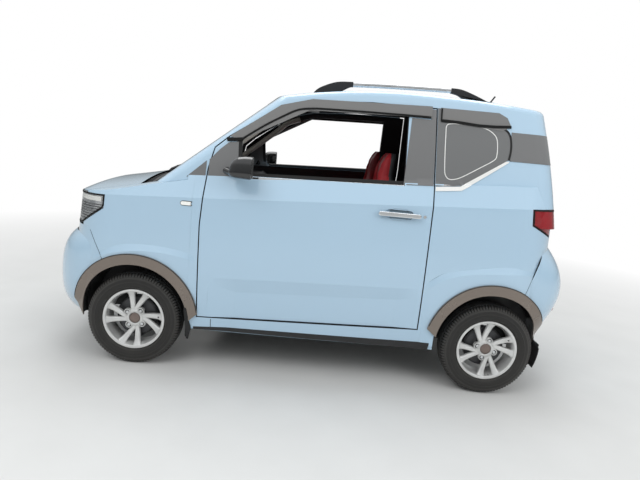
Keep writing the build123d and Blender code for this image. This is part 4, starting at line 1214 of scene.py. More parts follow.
def makeSideDetails():
    onDoor = outerPlace(SkinFinder(["door_left"]))
    onSide = outerPlace(SkinFinder(["side_left"]))
    bothSides(sidePatch("pillarPanelLeft", pillarEdge, -0.001, 0.0025, onDoor, 0.015), "panel_grey",
              "door_left")
    bothSides(sidePatch("sailPanelLeft", sail, -0.006, 0.0025), "panel_grey", "door_left",
              ["quarter_light_left"])
    bothSides(sidePatch("wingTriangleLeft", wingTriangle, -0.002, 0.0025), "panel_grey", "chassis")
    bothSides(sidePatch("quarterPaneLeft", quarterPane, -0.0005, 0.0028, onSide, 0.015), "privacy",
              "chassis")
    line = smoothLine(paneLine, 4, True)
    bothSides(sideRibbon("paneLineLeft", line, 0.0042, 0.0020, 0.0034, True), "pale_line", "chassis")
    skin = SkinFinder(["side_left"])
    # the pale strip on the quarter is painted highlight
    strip = sidePatch("kickStripLeft", quarterHighlight, -0.002, 0.0045, skin.side, 0.008)
    bothSides(strip, "pale_line", "chassis", angle=60)
    bothSides(sideRibbon("quarterSealLeft", smoothLine(sealLine, 6), 0.010, -0.001, 0.0048), "rubber_black",
              "chassis")
    bothSides(cornerBand("cornerBandLeft", 0.992, 1.286, 1.438, 0.0025), "panel_grey", "chassis")
    beltLow = [(-0.398 + 0.9885 * k / 20, 1.071 + 0.0385 * k / 20) for k in range(21)]
    bothSides(sideRibbon("beltStripLeft", beltLow, 0.013, -0.002, 0.006), "chrome", "door_left",
              bevel=0.0015)
    under = [(x, z - 0.0095) for x, z in beltLow]
    bothSides(sideRibbon("beltLineLeft", under, 0.006, -0.001, 0.003), "gap_black", "door_left")
    sealIn = [(-0.390 + 0.826 * k / 16, 1.086 + 0.0345 * k / 16) for k in range(17)]
    bothSides(sideRibbon("beltSealLeft", sealIn, 0.022, -0.020, -0.001), "rubber_black", "door_left")
    post = [(-0.437, 1.262), (-0.434, 1.215), (-0.430, 1.165), (-0.424, 1.110)]
    bothSides(sideRibbon("sailPostLeft", post, 0.020, -0.012, 0.004), "rubber_black", "door_left",
              bevel=0.002)
    # visor edges
    visorLow = [(-0.430, 1.266), (-0.322, 1.345), (-0.217, 1.410), (-0.150, 1.445), (-0.080, 1.458),
                (0.010, 1.463),
                (0.306, 1.470), (0.553, 1.473)]
    bothSides(sideRibbon("visorLipLeft", smoothLine(visorLow, 5), 0.009, 0.002, 0.0125), "gap_black",
              "door_left")
    cap = [(-0.508, 1.258), (-0.470, 1.262), (-0.424, 1.268)]
    bothSides(sideRibbon("visorCapLeft", cap, 0.016, 0.000, 0.0135), "gap_black", "door_left",
              bevel=0.003)
    quarterLow = [(0.609, 1.463), (0.700, 1.462), (0.812, 1.455), (0.900, 1.457), (0.986, 1.464)]
    bothSides(sideRibbon("quarterVisorLipLeft", quarterLow, 0.013, 0.001, 0.010), "gap_black", "chassis")
    front = [(0.609, 1.527), (0.609, 1.463)]
    bothSides(sideRibbon("quarterVisorEndLeft", front, 0.007, 0.001, 0.010), "gap_black", "chassis")


makeSideDetails()
print("side panels done")

# roof rails: a silver bar between two curved feet on each side

rail = {
    "side": 0.440, "width": 0.027, "height": 0.028,
    "bar": [(0.128, 1.6195), (0.300, 1.6280), (0.480, 1.6340), (0.676, 1.6385)],
    "frontTop": [(-0.080, 1.560), (-0.045, 1.590), (0.040, 1.625), (0.132, 1.6335)],
    "frontUnder": [(0.132, 1.6060), (0.112, 1.602), (0.066, 1.575)],
    "rearTop": [(0.672, 1.6520), (0.742, 1.6470), (0.862, 1.606), (0.930, 1.572)],
    "rearUnder": [(0.770, 1.583), (0.716, 1.615), (0.672, 1.6245)],
}


def sweptBar(name, points, width, height, steps=8):
    # a bar with rounded corners that follows points in XZ
    line = smoothLine(points, steps)
    ring = roundedOutline([(-width / 2, -height / 2), (width / 2, -height / 2), (width / 2, height / 2),
                           (-width / 2, height / 2)], 0.009, 4)
    verts = []
    for i, p in enumerate(line):
        along = (line[min(i + 1, len(line) - 1)] - line[max(i - 1, 0)]).normalized()
        up = Vector((-along.y, along.x))
        for a, b in ring:
            verts.append((p.x + up.x * b, a, p.y + up.y * b))
    n = len(ring)
    faces = gridFaces(len(line), n, False, True)
    faces += endCaps(len(line), n)
    return meshObject(name, verts, faces)


def makeRails():
    roof = SkinFinder(["roof_panel"])
    bars, feet = [], []
    for sign in (-1, 1):
        y = sign * rail["side"]
        bar = sweptBar("bar", rail["bar"], rail["width"] - 0.002, rail["height"] - 0.002)
        bar.data.transform(Matrix.Translation((0, y, 0)))
        bars.append(bar)
        for top, under, ends in (("frontTop", "frontUnder", (0.060, -0.078)),
                                 ("rearTop", "rearUnder", (0.926, 0.776))):
            foot = [roof.above(x, y).z - 0.0015 for x in np.linspace(ends[0], ends[1], 7)]
            low = list(zip(np.linspace(ends[0], ends[1], 7), foot))
            upper = [tuple(p) for p in smoothLine(rail[top], 5)]
            lower = [tuple(p) for p in smoothLine(rail[under], 5)]
            shape = upper + lower + low if top == "frontTop" else upper + low + lower
            piece = prism("foot", shape, rail["width"] + 0.001,
                          Matrix.Translation((0, y - rail["width"] / 2 - 0.0005, 0)))
            feet.append(piece)
    finishPiece(joined("railBars", bars), "rail_silver", "chassis", ["roof_rails"], 0.0, 40)
    finishPiece(joined("railFeet", feet), "plastic_black", "chassis", ["roof_rails"],
                0.004, 30)


# door mirrors: a gloss shell open to the rear, glass, and an arm on the sail panel

mirrorShape = {
    "centre": (-0.800, 1.1300),
    "rows": [(-0.4580, 0.030, 0.024, -0.010), (-0.4530, 0.042, 0.036, -0.007),
             (-0.4400, 0.051, 0.047, -0.004),
             (-0.4200, 0.0555, 0.0535, -0.001), (-0.3900, 0.0572, 0.0565, 0), (-0.3560, 0.0575, 0.0572, 0),
             (-0.3480, 0.0560, 0.0558, 0), (-0.3480, 0.0515, 0.0512, 0), (-0.3600, 0.0500, 0.0498, 0)],
    "glassX": -0.3570,
}


def makeMirrors():
    cy, cz = mirrorShape["centre"]
    verts = []
    for x, halfY, halfZ, drop in mirrorShape["rows"]:
        ring = roundedOutline([(-halfY, -halfZ), (halfY, -halfZ), (halfY * 0.94, halfZ),
                               (-halfY * 0.82, halfZ)],
                              [halfZ * 0.55, halfZ * 0.40, halfZ * 0.55, halfZ * 0.80], 11)
        for y, z in ring:
            lean = 0.10 * (z / halfZ) * 0.06 if x < -0.36 else 0
            verts.append((x + lean, cy + y, cz + z + drop))
        count = len(ring)
    rows = len(mirrorShape["rows"])
    faces = gridFaces(rows, count, False, True) + [tuple(range(count))[::-1]]
    shell = meshObject("shell", verts, faces)
    arm = tube("arm", [(-0.418, -0.752, 1.100), (-0.430, -0.728, 1.096), (-0.452, -0.704, 1.094),
                       (-0.474, -0.688, 1.096),
                       (-0.492, -0.671, 1.100)], [0.013, 0.0135, 0.015, 0.018, 0.020], 16, flat=1.5)
    glass = roundedOutline([(-0.0495, -0.0490), (0.0495, -0.0490), (0.0465, 0.0490), (-0.0405, 0.0490)],
                           [0.026, 0.018, 0.026, 0.038], 11)
    x = mirrorShape["glassX"]
    pane = [(x, cy + a, cz + b) for a, b in glass]
    inner = [(x - 0.004, cy + a, cz + b) for a, b in glass]
    n = len(glass)
    paneFaces = [tuple(range(n)), tuple(range(2 * n - 1, n - 1, -1))]
    paneFaces += [(k, n + k, n + (k + 1) % n, (k + 1) % n) for k in range(n)]
    mirror = meshObject("mirrorGlassLeft", pane + inner, paneFaces)
    body = joined("mirrorShellLeft", [shell, arm])
    bothSides(body, "gloss_black", "door_left", ["door_mirror_left"], 0.0, 40)
    bothSides(mirror, "mirror_glass", "door_left", angle=40)


# lamps: a ribbed reflector body just inside each clear cover


def ribbedCore(name, node, inset, pitch, depth, slope=0.0):
    # the lamp's own form drawn in, then cut into level steps that stand in and out by turns
    bm = bmesh.new()
    bm.from_mesh(cadNodes[node].data)
    bmesh.ops.remove_doubles(bm, verts=bm.verts, dist=0.00005)
    bm.normal_update()
    moves = [(v, v.normal.copy()) for v in bm.verts]
    for v, normal in moves:
        v.co -= normal * inset
    low = min(v.co.z - slope * v.co.x for v in bm.verts)
    high = max(v.co.z - slope * v.co.x for v in bm.verts)
    count = int((high - low) / pitch)
    tilt = Vector((-slope, 0, 1)).normalized()
    for k in range(1, count * 2):
        z = low + (high - low) * k / (count * 2)
        for shift in (-0.0004, 0.0004):
            bmesh.ops.bisect_plane(bm, geom=bm.verts[:] + bm.edges[:] + bm.faces[:],
                                   plane_co=(0, 0, z + shift), plane_no=tilt)
    bm.normal_update()
    step = (high - low) / (count * 2)
    shifts = []
    for v in bm.verts:
        band = int((v.co.z - slope * v.co.x - low) / step)
        if band % 2:
            shifts.append((v, v.normal.copy()))
    for v, normal in shifts:
        v.co -= Vector((normal.x, normal.y, 0)) * depth
    data = bpy.data.meshes.new(name)
    bm.to_mesh(data)
    bm.free()
    return placed(name, data)


def makeLamps():
    core = ribbedCore("headlampReflectors", "headlamps", 0.0035, 0.016, 0.0035, 0.06)
    finishPiece(core, "reflector", "chassis", angle=30)
    redCore = ribbedCore("tailLampReflectors", "tail_lamps", 0.003, 0.020, 0.003)
    finishPiece(redCore, "red_core", "chassis", angle=30)


makeRails()
makeMirrors()
makeLamps()
print("rails, mirrors and lamps done")

# seats: each pad starts a little small, is blown up as cloth, and gets its seams afterwards

seat = {
    "middle": -0.295, "voxel": 0.009, "pressure": 4.0, "frames": 20, "cap": 0.012, "seam": 0.004,
    # height, rear face x, depth, half width, bolster half width
    "backRows": [(0.566, 0.304, 0.070, 0.180, 0.050), (0.600, 0.312, 0.100, 0.203, 0.060),
                 (0.700, 0.336, 0.108, 0.208, 0.065),
                 (0.820, 0.368, 0.108, 0.208, 0.065), (0.940, 0.400, 0.104, 0.204, 0.062),
                 (1.030, 0.420, 0.098, 0.190, 0.056),
                 (1.090, 0.422, 0.090, 0.160, 0.046), (1.140, 0.414, 0.078, 0.134, 0.038),
                 (1.200, 0.415, 0.070, 0.126, 0.034),
                 (1.250, 0.418, 0.064, 0.116, 0.030), (1.278, 0.418, 0.044, 0.090, 0.022)],
    # place x, low z, height, half width, bolster half width
    "cushionRows": [(-0.134, 0.470, 0.060, 0.170, 0.050), (-0.115, 0.452, 0.100, 0.198, 0.058),
                    (-0.060, 0.446, 0.122, 0.210, 0.064),
                    (0.060, 0.446, 0.128, 0.212, 0.066), (0.180, 0.446, 0.130, 0.212, 0.066),
                    (0.262, 0.450, 0.116, 0.206, 0.062),
                    (0.282, 0.464, 0.080, 0.180, 0.052)],
}


def padSection(depth, half, bolster, hollow):
    # half outline of a pad across its width: flat back, rounded sides, raised bolsters
    drop = depth * hollow
    corner = min(0.022, depth * 0.3)
    points = [(-half, 0), (half, 0), (half, depth), (half - bolster, depth - 0.002),
              (half - bolster * 1.45, depth - drop),
              (-half + bolster * 1.45, depth - drop), (-half + bolster, depth - 0.002), (-half, depth)]
    return roundedOutline(points, [corner, corner, corner * 1.4, 0.012, 0.012, 0.012, 0.012, corner * 1.4], 4)


def pillow(name, rows, place, cap, voxel, pressure):
    # rows of sections lofted into a closed form, remeshed evenly, then blown up as cloth
    verts = []
    for row in rows:
        section = place(row)
        verts += section
    n = len(section)
    faces = gridFaces(len(rows), n, False, True) + endCaps(len(rows), n)
    obj = meshObject(name, verts, faces)
    bm = bmesh.new()
    bm.from_mesh(obj.data)
    bmesh.ops.recalc_face_normals(bm, faces=bm.faces)
    bm.to_mesh(obj.data)
    bm.free()
    obj.data.remesh_voxel_size = voxel
    bpy.context.view_layer.objects.active = obj
    obj.select_set(True)
    bpy.ops.object.voxel_remesh()
    obj.select_set(False)
    start = [v.co.copy() for v in obj.data.vertices]
    cloth = obj.modifiers.new("cloth", "CLOTH")
    cloth.settings.quality = 5
    cloth.settings.mass = 0.3
    cloth.settings.tension_stiffness = 15
    cloth.settings.compression_stiffness = 15
    cloth.settings.shear_stiffness = 10
    cloth.settings.bending_stiffness = 2
    cloth.settings.use_pressure = True
    cloth.settings.uniform_pressure_force = pressure
    cloth.settings.effector_weights.gravity = 0
    cloth.point_cache.frame_start = 1
    cloth.point_cache.frame_end = seat["frames"]
    scene = bpy.context.scene
    for frame in range(1, seat["frames"] + 1):
        scene.frame_set(frame)
    shaped = obj.evaluated_get(bpy.context.evaluated_depsgraph_get()).to_mesh()
    ends = [v.co.copy() for v in shaped.vertices]
    obj.evaluated_get(bpy.context.evaluated_depsgraph_get()).to_mesh_clear()
    obj.modifiers.remove(cloth)
    scene.frame_set(1)
    for v, a, b in zip(obj.data.vertices, start, ends):
        move = b - a
        if move.length > cap:
            move = move.normalized() * cap
        v.co = a + move
    return obj


def subdivided(obj, levels=1):
    mod = obj.modifiers.new("finer", "SUBSURF")
    mod.levels = levels
    mod.render_levels = levels
    mesh = bpy.data.meshes.new_from_object(obj.evaluated_get(bpy.context.evaluated_depsgraph_get()))
    obj.modifiers.clear()
    old = obj.data
    obj.data = mesh
    bpy.data.meshes.remove(old)
    return obj


def pressSeams(obj, distance, depth, width):
    # sinks the cloth along sewn lines: distance(co) is the length to the nearest seam
    mesh = obj.data
    moves = []
    for v in mesh.vertices:
        d = distance(v.co)
        if d < width:
            moves.append((v, depth * (1 - d / width) ** 2))
    normals = [v.normal.copy() for v, m in moves]
    for (v, m), normal in zip(moves, normals):
        v.co -= normal * m
    mesh.update()


def paintFaces(obj, materials, pick):
    obj.data.materials.clear()
    for name in materials:
        obj.data.materials.append(mats[name])
    for face in obj.data.polygons:
        face.material_index = pick(face.center)
        face.use_smooth = True


def makeFrontSeats():
    mid = seat["middle"]

    def backPlace(row):
        z, rear, depth, half, bolster = row
        return [(rear - b, mid + a, z) for a, b in padSection(depth, half, bolster, 0.24)]

    def cushionPlace(row):
        x, low, height, half, bolster = row
        return [(x, mid + a, low + b) for a, b in padSection(height, half, bolster, 0.20)]

    for name, rows, place, isBack in (("seatBackLeft", seat["backRows"], backPlace, True),
                                      ("seatCushionLeft", seat["cushionRows"], cushionPlace, False)):
        pad = pillow(name, rows, place, seat["cap"], seat["voxel"], seat["pressure"])
        subdivided(pad)
        table = np.array([(r[0], r[1], r[2], r[3], r[4]) for r in rows])

        def seamSpot(co, isBack=isBack, table=table):
            along = co.z if isBack else co.x
            half = float(np.interp(along, table[:, 0], table[:, 3]))
            bolster = float(np.interp(along, table[:, 0], table[:, 4]))
            a = abs(co.y - mid)
            rear = float(np.interp(along, table[:, 0], table[:, 1]))
            front = (rear - co.x) if isBack else (co.z - rear)
            inner = half - bolster * 1.35
            d = abs(a - inner) if front > 0.03 else 1.0
            if front > 0.03 and a < inner:
                lines = (0.68, 0.76, 0.84, 0.92, 1.00, 1.105) if isBack else (-0.04, 0.04, 0.12, 0.20)
                d = min([d] + [abs(along - line) for line in lines])
            d = min(d, abs(front - 0.026) if a > half - 0.02 else 1.0)
            return d

        pressSeams(pad, seamSpot, seat["seam"], 0.012)

        def pick(co, isBack=isBack, table=table):
            along = co.z if isBack else co.x
            rear = float(np.interp(along, table[:, 0], table[:, 1]))
            front = (rear - co.x) if isBack else (co.z - rear)
            return 1 if front < 0.026 else 0

        paintFaces(pad, ["seat_red", "seat_black"], pick)
        twin = mirroredCopy(pad, name.replace("Left", "Right"))
        for piece, node in ((pad, "seat_front_left"), (twin, "seat_front_right")):
            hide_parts(node)
            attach(piece, "chassis")
    parts = []
    for y in (-0.215, 0.215):
        parts.append(blockPiece("runner", (-0.112, mid + y * 0.8 - 0.014, 0.288),
                                (0.258, mid + y * 0.8 + 0.014, 0.312), 0.003))
        parts.append(blockPiece("slide", (-0.080, mid + y * 0.8 - 0.010, 0.310),
                                (0.230, mid + y * 0.8 + 0.010, 0.334), 0.003))
        parts.append(tube("leg", [(-0.050, mid + y * 0.8, 0.330), (-0.050, mid + y * 0.8, 0.452)], 0.010, 12))
        parts.append(tube("leg", [(0.200, mid + y * 0.8, 0.330), (0.200, mid + y * 0.8, 0.452)], 0.010, 12))
        side = mid + (0.222 if y > 0 else -0.222)
        cover = prism("cover", roundedOutline([(0.130, 0.455), (0.330, 0.455), (0.330, 0.560),
                                               (0.262, 0.600), (0.215, 0.560)], 0.018, 4),
                      0.016, Matrix.Translation((0, side - 0.008, 0)))
        parts.append(cover)
    parts.append(tube("bar", [(-0.050, mid - 0.172, 0.400), (-0.050, mid + 0.172, 0.400)], 0.009, 12))
    frameLeft = joined("seatFrameLeft", parts)
    frameRight = mirroredCopy(frameLeft, "seatFrameRight")
    finishPiece(frameLeft, "steel_dark", "chassis", ["seat_front_left"], 0.0015, 30)
    finishPiece(frameRight, "steel_dark", "chassis", ["seat_front_right"], 0.0015, 30)


rearSeat = {
    "voxel": 0.012,
    "cushion": [(0.676, 0.486, 0.055, 0.480), (0.694, 0.478, 0.086, 0.505), (0.760, 0.476, 0.094, 0.510),
                (0.900, 0.476, 0.092, 0.510),
                (1.020, 0.478, 0.084, 0.508), (1.048, 0.490, 0.050, 0.480)],
    "back": [(0.568, 1.080, 0.050, 0.480), (0.590, 1.086, 0.082, 0.502), (0.700, 1.108, 0.088, 0.505),
             (0.850, 1.136, 0.088, 0.505),
             (1.000, 1.164, 0.080, 0.502), (1.052, 1.170, 0.062, 0.492), (1.070, 1.168, 0.040, 0.475)],
}


def makeRearSeat():
    def boxSection(depth, half):
        corner = min(0.026, depth * 0.42)
        return roundedOutline([(-half, 0), (half, 0), (half, depth), (-half, depth)],
                              [corner * 0.7, corner * 0.7, corner, corner], 4)

    def cushionPlace(row):
        return [(row[0], a, row[1] + b) for a, b in boxSection(row[2], row[3])]

    def backPlace(row):
        return [(row[1] - b, a, row[0]) for a, b in boxSection(row[2], row[3])]

    for name, place, isBack in (("rearSeatCushion", cushionPlace, False), ("rearSeatBack", backPlace, True)):
        rows = rearSeat["back" if isBack else "cushion"]
        pad = pillow(name, rows, place, 0.010, rearSeat["voxel"], seat["pressure"])
        subdivided(pad)
        table = np.array(rows)

        def seamSpot(co, isBack=isBack, table=table):
            along = co.z if isBack else co.x
            rear = float(np.interp(along, table[:, 0], table[:, 1]))
            front = (rear - co.x) if isBack else (co.z - rear)
            if front < 0.03:
                return 1.0
            d = min(abs(abs(co.y) - 0.245), abs(co.y), abs(abs(co.y) - 0.455))
            if abs(co.y) < 0.455:
                lines = (0.66, 0.74, 0.82, 0.90, 0.98) if isBack else (0.74, 0.82, 0.90, 0.98)
                d = min([d] + [abs(along - line) for line in lines])
            return d

        pressSeams(pad, seamSpot, 0.0035, 0.014)
        paintFaces(pad, ["seat_red", "seat_black"], lambda co: int(abs(co.y) > 0.455))
        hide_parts("seat_rear")
        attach(pad, "chassis")


makeFrontSeats()
makeRearSeat()
print("seats done")

# front and rear glass borders, wipers and cowl vents

screen = {
    "border": [(-0.573, 1.064), (0.573, 1.064), (0.452, 1.492), (-0.452, 1.492)],
    "rearBorder": [(-0.503, 1.110), (0.503, 1.110), (0.464, 1.300), (0.427, 1.444), (-0.427, 1.444),
                   (-0.464, 1.300)],
    "wipers": [(-0.33, 0.10, 1.066), (0.20, 0.545, 1.066)],  # pivot y, blade tip y, height
}


def densified(points, step, closed=True):
    out = []
    n = len(points)
    for i in range(n if closed else n - 1):
        a, b = Vector(points[i]), Vector(points[(i + 1) % n])
        count = max(int((b - a).length / step), 1)
        out += [tuple(a + (b - a) * k / count) for k in range(count)]
    if not closed:
        out.append(tuple(points[-1]))
    return out


def makeGlassDetails():
    glass = SkinFinder(["windscreen"])
    line = densified(roundedOutline(screen["border"], 0.05, 6), 0.02)
    border = hugRibbon("screenBorder", glass, "front", line, 0.046, 0.0004, 0.0022, True)
    finishPiece(border, "screen_black", "chassis", angle=60)
    rear = SkinFinder(["rear_window"])
    line = densified(roundedOutline(screen["rearBorder"], 0.04, 6), 0.02)
    border = hugRibbon("rearGlassBorder", rear, "rear", line, 0.028, 0.0004, 0.0020, True)
    finishPiece(border, "screen_black", "tailgate", angle=60)
    parts = []
    for pivotY, tip, height in screen["wipers"]:
        blade = [glass.front(y, height - 0.02 * abs(y) ** 2, 0.005) for y in np.linspace(tip - 0.42, tip, 18)]
        spine = [glass.front(y, height + 0.002 - 0.02 * abs(y) ** 2, 0.010)
                 for y in np.linspace(tip - 0.38, tip - 0.04, 12)]
        parts.append(tube("blade", blade, 0.0035, 8, flat=1.8))
        parts.append(tube("spine", spine, 0.0042, 8, flat=1.5))
        foot = glass.front(pivotY, 1.048, 0.008)
        middle = spine[len(spine) // 2]
        arm = [foot + Vector((-0.012, 0, -0.010)), foot + Vector((-0.002, 0, 0.002)),
               foot.lerp(middle, 0.55) + Vector((-0.004, 0, 0.002)), middle]
        parts.append(tube("arm", [Vector(p) for p in arm], [0.010, 0.009, 0.006, 0.005], 10, flat=1.4))
    finishPiece(joined("frontWipers", parts), "plastic_black", "chassis", angle=40)
    parts = []
    height = 1.132
    blade = [rear.rear(y, height, 0.009) for y in np.linspace(-0.02, 0.30, 14)]
    spine = [rear.rear(y, height + 0.002, 0.016) for y in np.linspace(0.02, 0.26, 10)]
    parts.append(tube("blade", blade, 0.0035, 8, flat=1.8))
    parts.append(tube("spine", spine, 0.0042, 8, flat=1.5))
    hub = rear.rear(0, 1.112, 0.006)
    parts.append(tube("arm", [hub, hub + Vector((0.010, 0.02, 0.004)), spine[5]], [0.015, 0.011, 0.006], 12))
    finishPiece(joined("rearWiper", parts), "plastic_black", "tailgate", angle=40)
    cowl = SkinFinder(["cowl_panel"])
    parts = []
    for k in range(46):
        y = -0.50 + 1.00 * k / 45
        if abs(y) < 0.10:
            continue
        points = [cowl.above(x + 0.045 * (abs(y) / 0.6) ** 2, y, 0.0012)
                  for x in np.linspace(-1.010, -0.955, 6)]
        parts.append(tube("fin", points, 0.0026, 6))
    finishPiece(joined("cowlFins", parts), "plastic_black", "chassis", angle=40)


# small things on the painted sides


def pill(x0, x1, z0, z1, steps=10):
    r = (z1 - z0) / 2
    return roundedOutline([(x0, z0), (x1, z0), (x1, z1), (x0, z1)], r * 0.98, steps)


def makeSideSmalls():
    wing = SkinFinder(["wing_left"])
    bezel = sidePatch("markerBezelLeft", pill(-0.7165, -0.6495, 0.9015, 0.9265), -0.001, 0.0020, wing.side,
                      0.01)
    lamp = sidePatch("markerLampLeft", pill(-0.7135, -0.6525, 0.9045, 0.9235), 0.0010, 0.0055, wing.side,
                     0.01)
    bothSides(bezel, "rubber_black", "chassis", angle=50)
    bothSides(lamp, "lamp_white", "chassis", (), 0.0015, 50)
    door = SkinFinder(["door_left"])
    # a thin darker patch on the door skin: painted shade of the recess behind the handle
    cup = sidePatch("handleCupLeft", pill(0.372, 0.482, 0.928, 0.990), 0.0002, 0.0012, door.side, 0.01)
    bothSides(cup, "handle_cup", "door_left", angle=50)
    lock = sidePatch("handleLockLeft", pill(0.553, 0.569, 0.951, 0.967), 0.0000, 0.0040, door.side, 0.01)
    bothSides(lock, "chrome", "door_left", (), 0.001, 50)
    lampSkin = SkinFinder(["tail_lamps"])
    path = densified([(1.286, 1.0465), (1.134, 1.0465), (1.143, 0.966), (1.292, 0.893)], 0.012, False)
    border = hugRibbon("tailLampBorderLeft", lampSkin, "side", path, 0.009, -0.0005, 0.0022)
    bothSides(border, "gap_black", "chassis", angle=50)
    headSkin = SkinFinder(["headlamps"])
    rim = roundedOutline([(-1.330, 0.9095), (-1.1195, 0.9125), (-1.1215, 0.852), (-1.268, 0.7485),
                          (-1.330, 0.7485)], [0, 0.008, 0.035, 0.012, 0], 6)
    border = hugRibbon("headlampBorderLeft", headSkin, "side", densified(rim, 0.012, False), 0.008, -0.0005,
                       0.0018)
    bothSides(border, "gap_black", "chassis", angle=50)
    bands = []
    for z, width, start in ((0.858, 0.004, -1.325), (0.846, 0.0035, -1.320), (0.834, 0.0035, -1.318),
                            (0.820, 0.0035, -1.318),
                            (0.806, 0.003, -1.318), (0.792, 0.003, -1.316), (0.778, 0.003, -1.316)):
        end = -1.130 if z > 0.85 else -1.130 - (0.85 - z) * 1.42
        line = [(x, z + 0.03 * (x + 1.2)) for x in np.linspace(start, end, 16)]
        bands.append(hugRibbon("band", headSkin, "side", line, width, -0.0028, -0.0008))
    bothSides(joined("headlampBandsLeft", bands), "steel_dark", "chassis", angle=50)
    line = [(x, 0.890 + 0.012 * (x + 1.2)) for x in np.linspace(-1.312, -1.135, 14)]
    lit = hugRibbon("headlampChamberLeft", headSkin, "side", line, 0.024, -0.0030, -0.0008)
    bothSides(lit, "lamp_white", "chassis", angle=50)
    gate = SkinFinder(["tailgate"])
    bumper = SkinFinder(["bumper_rear"])
    reflectors = [sidePatch("reflectorPill", pill(y - 0.05, y + 0.05, 0.470, 0.488), 0, 0.004, bumper.rear,
                            0.01) for y in (-0.50, 0.50)]
    finishPiece(joined("rearReflectors", reflectors), "red_core", "chassis", angle=50)
    grip = sidePatch("tailgateGrip", pill(-0.10, 0.10, 0.886, 0.914), 0, 0.006, gate.rear, 0.01)
    finishPiece(grip, "plastic_black", "tailgate", (), 0.0015, 50)
    top = SkinFinder(["rear_window"])
    stop = sidePatch("highStopLamp", pill(-0.10, 0.10, 1.424, 1.440), -0.004, 0.0026, top.rear, 0.01)
    finishPiece(stop, "red_core", "tailgate", angle=50)


makeGlassDetails()
makeSideSmalls()
print("glass borders, wipers and small outer pieces done")

# cabin lining, controls and floor

cabin = {
    "card": [(-0.520, 0.400), (0.520, 0.400), (0.535, 1.040), (-0.380, 1.030), (-0.520, 1.000)],
    "pillar": [(-0.740, 1.085), (-0.640, 1.170), (-0.520, 1.268), (-0.400, 1.362), (-0.300, 1.424),
               (-0.190, 1.468)],
    "wheel": (-0.242, -0.300, 0.850), "tilt": -62,
}


def makeDoorCards():
    skin = SkinFinder(["door_left"])
    card = sidePatch("doorCardLeft", roundedOutline(cabin["card"], 0.05, 6), 0.0005, 0.0060, skin.within,
                     0.05)
    insert = sidePatch("doorInsertLeft",
                       roundedOutline([(-0.36, 0.80), (0.44, 0.80), (0.44, 0.96), (-0.36, 0.96)], 0.04, 6),
                       0.0055, 0.0110, skin.within, 0.05)
    bothSides(card, "cabin_plastic", "door_left", angle=50)
    bothSides(insert, "fabric_red", "door_left", angle=50)
    y = skin.within(0.1, 0.74).y
    parts = [blockPiece("rest", (-0.20, y + 0.004, 0.715), (0.34, y + 0.050, 0.752), 0.014, 4),
             blockPiece("restFoot", (-0.10, y + 0.003, 0.660), (0.24, y + 0.030, 0.722), 0.012, 4),
             blockPiece("pocket", (-0.40, y + 0.003, 0.430), (0.26, y + 0.034, 0.520), 0.014, 4)]
    ring = tube("speaker", [(-0.42 + 0.062 * math.cos(a), y + 0.008, 0.600 + 0.062 * math.sin(a))
                            for a in np.linspace(0, tau, 33)[:-1]], 0.006, 8, True)
    mesh = []
    for k in range(-4, 5):
        half = math.sqrt(max(0.056 ** 2 - (k * 0.012) ** 2, 0))
        mesh.append(tube("bar", [(-0.42 - half, y + 0.007, 0.600 + k * 0.012),
                                 (-0.42 + half, y + 0.007, 0.600 + k * 0.012)], 0.0022, 6))
    pull = tube("pull", [(-0.28, y + 0.008, 0.900), (-0.27, y + 0.026, 0.903), (-0.22, y + 0.028, 0.905),
                         (-0.21, y + 0.010, 0.902)], 0.006, 10)
    bothSides(joined("armRestLeft", parts + [ring] + mesh), "plastic_black", "door_left",
              angle=40)
    bothSides(pull, "chrome", "door_left", angle=40)


def makeLining():
    line = smoothLine(cabin["pillar"], 4)
    rows = []
    for sign in (-1, 1):
        points = []
        for x, z in line:
            p = cabinSide(x, z, -0.060)
            points.append((p.x + 0.010, -sign * p.y if sign > 0 else p.y, p.z - 0.006))
        rows.append(tube("trim", points, 0.019, 14, flat=1.35))
    finishPiece(joined("pillarTrims", rows), "trim_beige", "chassis", angle=50)
    parts = []
    for sign in (-1, 1):
        y = sign * 0.30
        parts.append(tube("visorRod", [(-0.215, y - 0.14, 1.500), (-0.215, y + 0.14, 1.500)], 0.004, 8))
    finishPiece(joined("visorRods", parts), "steel_dark", "chassis", angle=50)
    mirror = tube("mirrorStalk", [(-0.296, 0, 1.500), (-0.306, 0, 1.470), (-0.300, 0, 1.440)],
                  [0.010, 0.007, 0.009], 10)
    finishPiece(mirror, "plastic_black", "chassis", angle=50)
    glass = blockPiece("cabinMirrorGlass", (-0.2885, -0.100, 1.377), (-0.2870, 0.100, 1.423), 0.0005, 2)
    finishPiece(glass, "mirror_glass", "chassis", angle=50)


controls = {
    "column": ((0.030, 0.060, 0.130, 0.190), (0.030, 0.036, 0.042, 0.046)),  # distances and radii
    "stalk": [(0.03, 0), (0.09, 0.012), (0.155, 0.020)],  # out to the side, and up
    "binnacle": [(-0.486, -0.425, 1.018), (-0.382, -0.175, 1.036)],
    "vents": (-0.52, -0.085, 0.085, 0.52), "ventHeight": 0.900, "ventHalf": (0.040, 0.028),
    "vaneHalf": 0.038, "vaneStep": 0.010,
    "knobs": (-0.05, 0, 0.05), "knobHeight": 0.800,
    "lid": [(0.17, 0.79), (0.50, 0.79), (0.50, 0.865), (0.17, 0.865)],
    "tunnel": [(-0.150, -0.050, 0.295), (0.330, 0.050, 0.400)],
    "cup": (-0.08, 0.402, 0.034),  # place, height, radius
    "lever": [(0.22, 0.018, 0.400), (0.16, 0.018, 0.428), (0.05, 0.018, 0.452)],
    "selector": [(0.02, -0.012, 0.398), (0.02, -0.012, 0.418), (0.02, -0.012, 0.430)],
    "pedals": [(-0.36, 0.040), (-0.26, 0.055)],  # place and width
    "wheelPad": [(-0.050, -0.062, -0.018), (0.050, 0.062, 0.022)],
}


